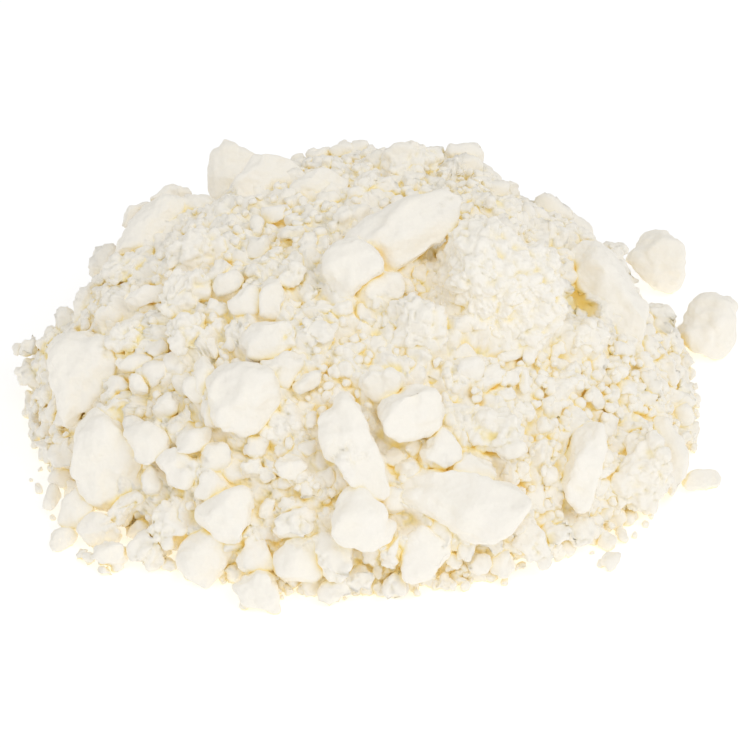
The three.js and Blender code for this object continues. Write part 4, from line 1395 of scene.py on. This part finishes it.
def filled_grid(lumps):
    """How full each small cell of the space is, 1 in cheese and 0 in air, with only the insides
    of the lumps and of the mound under the skyline filled."""
    full = empty_grid()
    x, y, z = (GRID_LOW[k] + GRID_STEP * (np.arange(full.shape[k]) + 0.5) for k in range(3))
    reach = MOUND_REACH - MOUND_INNER_DEPTH
    away_x = (x - MOUND_CENTRE[0]) / reach[0]
    away_y = (y - MOUND_CENTRE[1]) / reach[1]
    high = np.maximum(z / reach[2], 0) ** (1 / MOUND_FALL)
    full[away_x[:, None, None] ** 2 + away_y[:, None] ** 2 + high < 1] = 1
    full[:, :, z < 0] = 0
    for slice_x, slice_cells in zip(x, full):
        places = np.stack(np.broadcast_arrays(slice_x, y[:, None], z), -1)
        slice_cells[over_skyline(places + UP * SKYLINE_MARGIN) > 0] = 0
    fill_insides(full, lumps, INNER_SHARE)
    return full


def fill_insides(full, lumps, share):
    """Fills the cells inside lumps, out to a share of their sizes."""
    counts = np.array(full.shape)
    for lump in lumps:
        half = lump.size / 2 * share
        reach = np.abs(lump.axes) @ half
        if lump.outlined:
            reach = lump.size.max() * OUTLINED_SPAN
        first = np.maximum(((lump.centre - reach - GRID_LOW) / GRID_STEP).astype(int), 0)
        last = np.minimum(((lump.centre + reach - GRID_LOW) / GRID_STEP).astype(int) + 2, counts)
        spans = [GRID_LOW[k] + GRID_STEP * (np.arange(first[k], last[k]) + 0.5) for k in range(3)]
        cells = np.stack(np.meshgrid(*spans, indexing="ij"), -1) - lump.centre
        if lump.outlined:
            inside = (cells @ lump.flats[:, :3].T < lump.flats[:, 3] * share).all(-1)
        else:
            inside = (((cells @ lump.axes) / half) ** 2).sum(-1) < 1
        region = full[first[0]:last[0], first[1]:last[1], first[2]:last[2]]
        region[inside] = 1


def fill_under(full, points, normals, thickness):
    """Fills the cells just under a surface, no deeper than the thickness there."""
    for depth in INNER_DEPTHS:
        thick = np.broadcast_to(thickness, len(points)) > depth
        cells = ((points[thick] - normals[thick] * depth - GRID_LOW) / GRID_STEP).astype(int)
        full[cells[:, 0], cells[:, 1], cells[:, 2]] = 1


def spread_out(full, reach):
    """The grid with each cell the mean of those within a reach, twice over."""
    half = max(1, int(round(reach / GRID_STEP)))
    for _ in range(2):
        for axis in range(3):
            padding = [(0, 0)] * 3
            padding[axis] = (half + 1, half)
            total = np.cumsum(np.pad(full, padding), axis=axis, dtype=np.float64)
            size = full.shape[axis]
            upper = np.take(total, np.arange(size) + 2 * half + 1, axis=axis)
            lower = np.take(total, np.arange(size), axis=axis)
            full = ((upper - lower) / (2 * half + 1)).astype(np.float32)
    return full


def read_grid(grid, points):
    """The grid's value at points, blended between cells."""
    places = (points - GRID_LOW) / GRID_STEP - 0.5
    places = np.clip(places, 0, np.array(grid.shape) - 1.001)
    cells = places.astype(int)
    part = places - cells
    total = np.zeros(len(points))
    for corner in np.ndindex(2, 2, 2):
        weight = np.where(np.array(corner) == 1, part, 1 - part).prod(-1)
        at = cells + np.array(corner)
        total += weight * grid[at[:, 0], at[:, 1], at[:, 2]]
    return total


def surface_of(piece):
    """A piece's points and normals, in mm."""
    mesh = piece.data
    points = np.zeros(len(mesh.vertices) * 3, np.float32)
    normals = np.zeros(len(mesh.vertices) * 3, np.float32)
    mesh.vertices.foreach_get("co", points)
    mesh.vertex_normals.foreach_get("vector", normals)
    return points.reshape(-1, 3).astype(float) / MM, normals.reshape(-1, 3).astype(float)


def mark_depth(piece, spread):
    """Gives each point of a piece how deep it lies, near by and farther around, as the masks of the
    painted gold glow, less at the foot where the white ground lights it."""
    points, normals = surface_of(piece)
    foot = FOOT_PALENESS + (1 - FOOT_PALENESS) * np.clip(points[:, 2] / FOOT_HEIGHT, 0, 1)
    for name, (_, over) in DEPTHS.items():
        depth = read_grid(spread[name], points + normals * over) * foot
        mark = piece.data.attributes.new(name, "FLOAT", "POINT")
        mark.data.foreach_set("value", depth.astype(np.float32))


def linear(colour):
    """A colour given as sRGB hex, as linear red, green and blue."""
    parts = [int(colour[k:k + 2], 16) / 255 for k in (1, 3, 5)]
    lit = [p / 12.92 if p <= 0.04045 else ((p + 0.055) / 1.055) ** 2.4 for p in parts]
    return (*lit, 1.0)


def node(tree, kind, settings=None, values=None, links=None):
    """Adds a node, with its settings, the values of its sockets and links into its sockets."""
    made = tree.nodes.new(kind)
    for name, value in (settings or {}).items():
        setattr(made, name, value)
    for socket, value in (values or {}).items():
        made.inputs[socket].default_value = value
    for socket, source in (links or {}).items():
        tree.links.new(source, made.inputs[socket])
    return made


def per_mm(size):
    """The scale of a pattern on Object coordinates, whose features are a size in mm."""
    return 1 / (size * MM)


def fresh_goat_cheese():
    """Fresh goat cheese, broken by hand: chalky and matte with a fine grit, and white on its broken
    faces. Its gaps and creases get a painted gold glow in the base colour, which stands for light
    that has gone through the crumbs many times. The gaps are where much cheese lies round a point,
    and the creases where it sees little sky."""
    material = bpy.data.materials.new("fresh_goat_cheese")
    material.use_nodes = True
    tree = material.node_tree
    tree.nodes.clear()
    place = node(tree, "ShaderNodeTexCoord").outputs["Object"]
    # The depth marks are the masks of the painted gold glow in the gaps
    near = node(tree, "ShaderNodeAttribute", {"attribute_name": "near_depth"}).outputs["Fac"]
    far = node(tree, "ShaderNodeAttribute", {"attribute_name": "far_depth"}).outputs["Fac"]
    near_share = node(
        tree, "ShaderNodeMapRange", {"interpolation_type": "SMOOTHSTEP"},
        {"From Min": 0.48, "From Max": 0.95, "To Max": 0.65}, {"Value": near},
    ).outputs["Result"]
    far_share = node(
        tree, "ShaderNodeMapRange", {"interpolation_type": "SMOOTHSTEP"},
        {"From Min": 0.58, "From Max": 0.98}, {"Value": far},
    ).outputs["Result"]
    # How much painted glow the gaps get, from how deep they lie near by and farther around
    gaps = node(
        tree, "ShaderNodeMath", {"operation": "MULTIPLY_ADD"}, {1: 0.25},
        {0: far_share, 2: near_share},
    ).outputs[0]
    # Painted glow in creases: the less sky a point sees, the more gold it is painted, in patches
    open_sky = node(
        tree, "ShaderNodeAmbientOcclusion", {"samples": 6}, {"Distance": 1.8 * MM},
    ).outputs["AO"]
    patches = node(
        tree, "ShaderNodeTexNoise", {}, {"Scale": per_mm(5), "Detail": 2.0}, {"Vector": place},
    ).outputs["Fac"]
    painted_glow_patches = node(
        tree, "ShaderNodeMapRange", {},
        {"From Min": 0.35, "From Max": 0.65, "To Min": 0.36, "To Max": 0.6}, {"Value": patches},
    ).outputs["Result"]
    crease_glow = node(
        tree, "ShaderNodeMapRange", {}, {"From Min": 0.75, "From Max": 0.2}, {"Value": open_sky},
    ).outputs["Result"]
    painted_glow_share = node(
        tree, "ShaderNodeMath", {"operation": "MULTIPLY_ADD", "use_clamp": True}, {},
        {0: crease_glow, 1: painted_glow_patches, 2: gaps},
    ).outputs[0]
    tone = node(
        tree, "ShaderNodeTexNoise", {}, {"Scale": per_mm(7), "Detail": 3.0}, {"Vector": place},
    ).outputs["Fac"]
    pale = node(
        tree, "ShaderNodeMix", {"data_type": "RGBA"},
        {6: linear(PALEST), 7: linear(CREAMIEST)}, {0: tone},
    ).outputs[2]
    # The painted gold glow, mixed over the cheese's own pale tone
    colour = node(
        tree, "ShaderNodeMix", {"data_type": "RGBA"}, {7: linear(PAINTED_GLOW_GOLD)}, {0: painted_glow_share, 6: pale},
    ).outputs[2]
    grit = node(
        tree, "ShaderNodeTexNoise", {}, {"Scale": per_mm(0.55), "Detail": 4.0, "Roughness": 0.6},
        {"Vector": place},
    ).outputs["Fac"]
    curds = node(
        tree, "ShaderNodeTexVoronoi", {"feature": "F1"}, {"Scale": per_mm(1.0)},
        {"Vector": place},
    ).outputs["Distance"]
    grainy = node(
        tree, "ShaderNodeBump", {"invert": True}, {"Strength": 0.25, "Distance": 0.45 * MM},
        {"Height": curds},
    ).outputs["Normal"]
    bump = node(
        tree, "ShaderNodeBump", {}, {"Strength": 0.4, "Distance": 0.16 * MM},
        {"Height": grit, "Normal": grainy},
    ).outputs["Normal"]
    shader = node(
        tree, "ShaderNodeBsdfPrincipled", {},
        {"Roughness": 0.85, "IOR": 1.4, "Specular IOR Level": 0.2},
        {"Base Color": colour, "Normal": bump},
    )
    node(tree, "ShaderNodeOutputMaterial", {}, {}, {"Surface": shader.outputs[0]})
    return material


def keep(piece, material, *nodes):
    """Gives a piece its material, and has it ride with the CAD and stand for CAD nodes."""
    piece.data.materials.append(material)
    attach(piece, "root")
    if nodes:
        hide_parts(*nodes)


def area_light(name, place, power):
    data = bpy.data.lights.new(name, "AREA")
    data.shape = "DISK"
    data.size = LIGHT_SIZE
    data.energy = power
    light = bpy.data.objects.new(name, data)
    light.location = place
    light.rotation_mode = "QUATERNION"
    light.rotation_quaternion = (Vector(LIGHT_AIM) - Vector(place)).to_track_quat("-Z", "Y")
    bpy.context.scene.collection.objects.link(light)


def studio():
    """A plain pale floor, plain soft light, and the camera at the viewer's place."""
    bpy.ops.mesh.primitive_plane_add(size=4)
    floor = bpy.context.object
    floor.name = "floor"
    paper = bpy.data.materials.new("white_paper")
    paper.use_nodes = True
    shader = paper.node_tree.nodes["Principled BSDF"]
    shader.inputs["Base Color"].default_value = linear(PAPER)
    shader.inputs["Roughness"].default_value = 0.9
    shader.inputs["Emission Color"].default_value = linear("#FFFFFF")
    shader.inputs["Emission Strength"].default_value = PAPER_GLOW
    floor.data.materials.append(paper)
    scene = bpy.context.scene
    scene.cycles.diffuse_bounces = BOUNCES
    world = bpy.data.worlds.new("studio")
    world.use_nodes = True
    background = world.node_tree.nodes["Background"]
    background.inputs["Color"].default_value = (1, 1, 1, 1)
    background.inputs["Strength"].default_value = SKY_STRENGTH
    scene.world = world
    scene.view_settings.view_transform = "Standard"
    for light in LIGHTS:
        area_light(*light)
    data = bpy.data.cameras.new("camera")
    data.sensor_width = SENSOR
    data.lens = SENSOR * DISTANCE / (PICTURE * MM_PER_PIXEL)
    data.clip_start = 0.01
    camera = bpy.data.objects.new("camera", data)
    camera.location = EYE * MM
    camera.rotation_euler = (math.pi / 2 - ELEVATION, 0, 0)
    scene.collection.objects.link(camera)
    scene.camera = camera


def detail_for(lump):
    finer = (detail for size, detail in DETAILS if lump.size.max() > size)
    return next(finer, LEAST_DETAIL)


def in_groups(lumps):
    """Lumps made in groups of one detail and one way of breaking."""
    kinds = sorted({(detail_for(lump), lump.broke) for lump in lumps})
    for detail, broke in kinds:
        group = [lump for lump in lumps if (detail_for(lump), lump.broke) == (detail, broke)]
        yield broken(group, detail, broke)


studio()
table_lumps = [heap_lump(row, index) for index, row in enumerate(HEAP_LUMPS + MORE_LUMPS)]
outlined = [lump for lump in table_lumps if lump.outlined]
filling = clear_of(sunk(fill_lumps(table_lumps[:len(HEAP_LUMPS)])), outlined)
loose = [loose_lump(row, index) for index, row in enumerate(LOOSE_LUMPS)]
small_seen = [small_lump(row, index) for index, row in enumerate(SMALL_SEEN)]
crumbs = clumped(settled_crumbs(table_lumps + filling + small_seen))
crumbs = small_seen + clear_of(sunk(crumbs), outlined)
floor_crumbs = [floor_crumb(row, index) for index, row in enumerate(FLOOR_CRUMBS)]

big = [lump for lump in table_lumps if lump.size.max() > BROAD_FROM]
masses = [lump for lump in big if lump.broke == "curd" and lump.size.max() > MASS_FROM]
large = [lump for lump in big if lump.size.max() > LARGE_FROM and lump not in masses]
broad = [lump for lump in big if lump.size.max() <= LARGE_FROM]
middling = [lump for lump in table_lumps + filling if lump not in big]
small = [crumb for crumb in crumbs if crumb.size.max() > SMALL_FROM]
fine = [crumb for crumb in crumbs if crumb.size.max() <= SMALL_FROM]
made = {
    "curd_masses": [broken(masses, MASS_DETAIL, "curd")],
    "large_lumps": list(in_groups(large)),
    "broad_lumps": list(in_groups(broad)),
    "middling_lumps": list(in_groups(middling)),
    "small_crumbs": [broken(small, LEAST_DETAIL, "crumb")],
    "fine_crumbs": [
        broken(fine, FINE_DETAIL, "crumb"),
        broken(floor_crumbs, LEAST_DETAIL, "crumb"),
    ],
    "loose_lumps": [broken(loose, LOOSE_DETAIL, "pressed")],
}
pieces = {name: joined_mesh(name, groups) for name, groups in made.items()}

full = filled_grid(table_lumps + filling + crumbs + loose + floor_crumbs)
for name, groups in made.items():
    fill_under(full, *surface_of(pieces[name]), half_thickness(groups))
large_enough = [
    lump for lump in table_lumps + filling + crumbs if lump.size.max() > UNDER_LUMPS_FROM
]
insides = empty_grid()
fill_insides(insides, large_enough, UNDER_SHARE)
curd_bed = bed(spread_out(full, BED_SPREAD), spread_out(insides, UNDER_SPREAD))
pieces["curd_bed"] = joined_mesh("curd_bed", [curd_bed])
fill_under(full, *surface_of(pieces["curd_bed"]), BED_MOST)

cheese = fresh_goat_cheese()
stands_for = {"loose_lumps": CAD_NODES[1:], "curd_bed": CAD_NODES[:1]}
spread = {name: spread_out(full, reach) for name, (reach, _) in DEPTHS.items()}
for name, piece in pieces.items():
    mark_depth(piece, spread)
    keep(piece, cheese, *stands_for.get(name, ()))
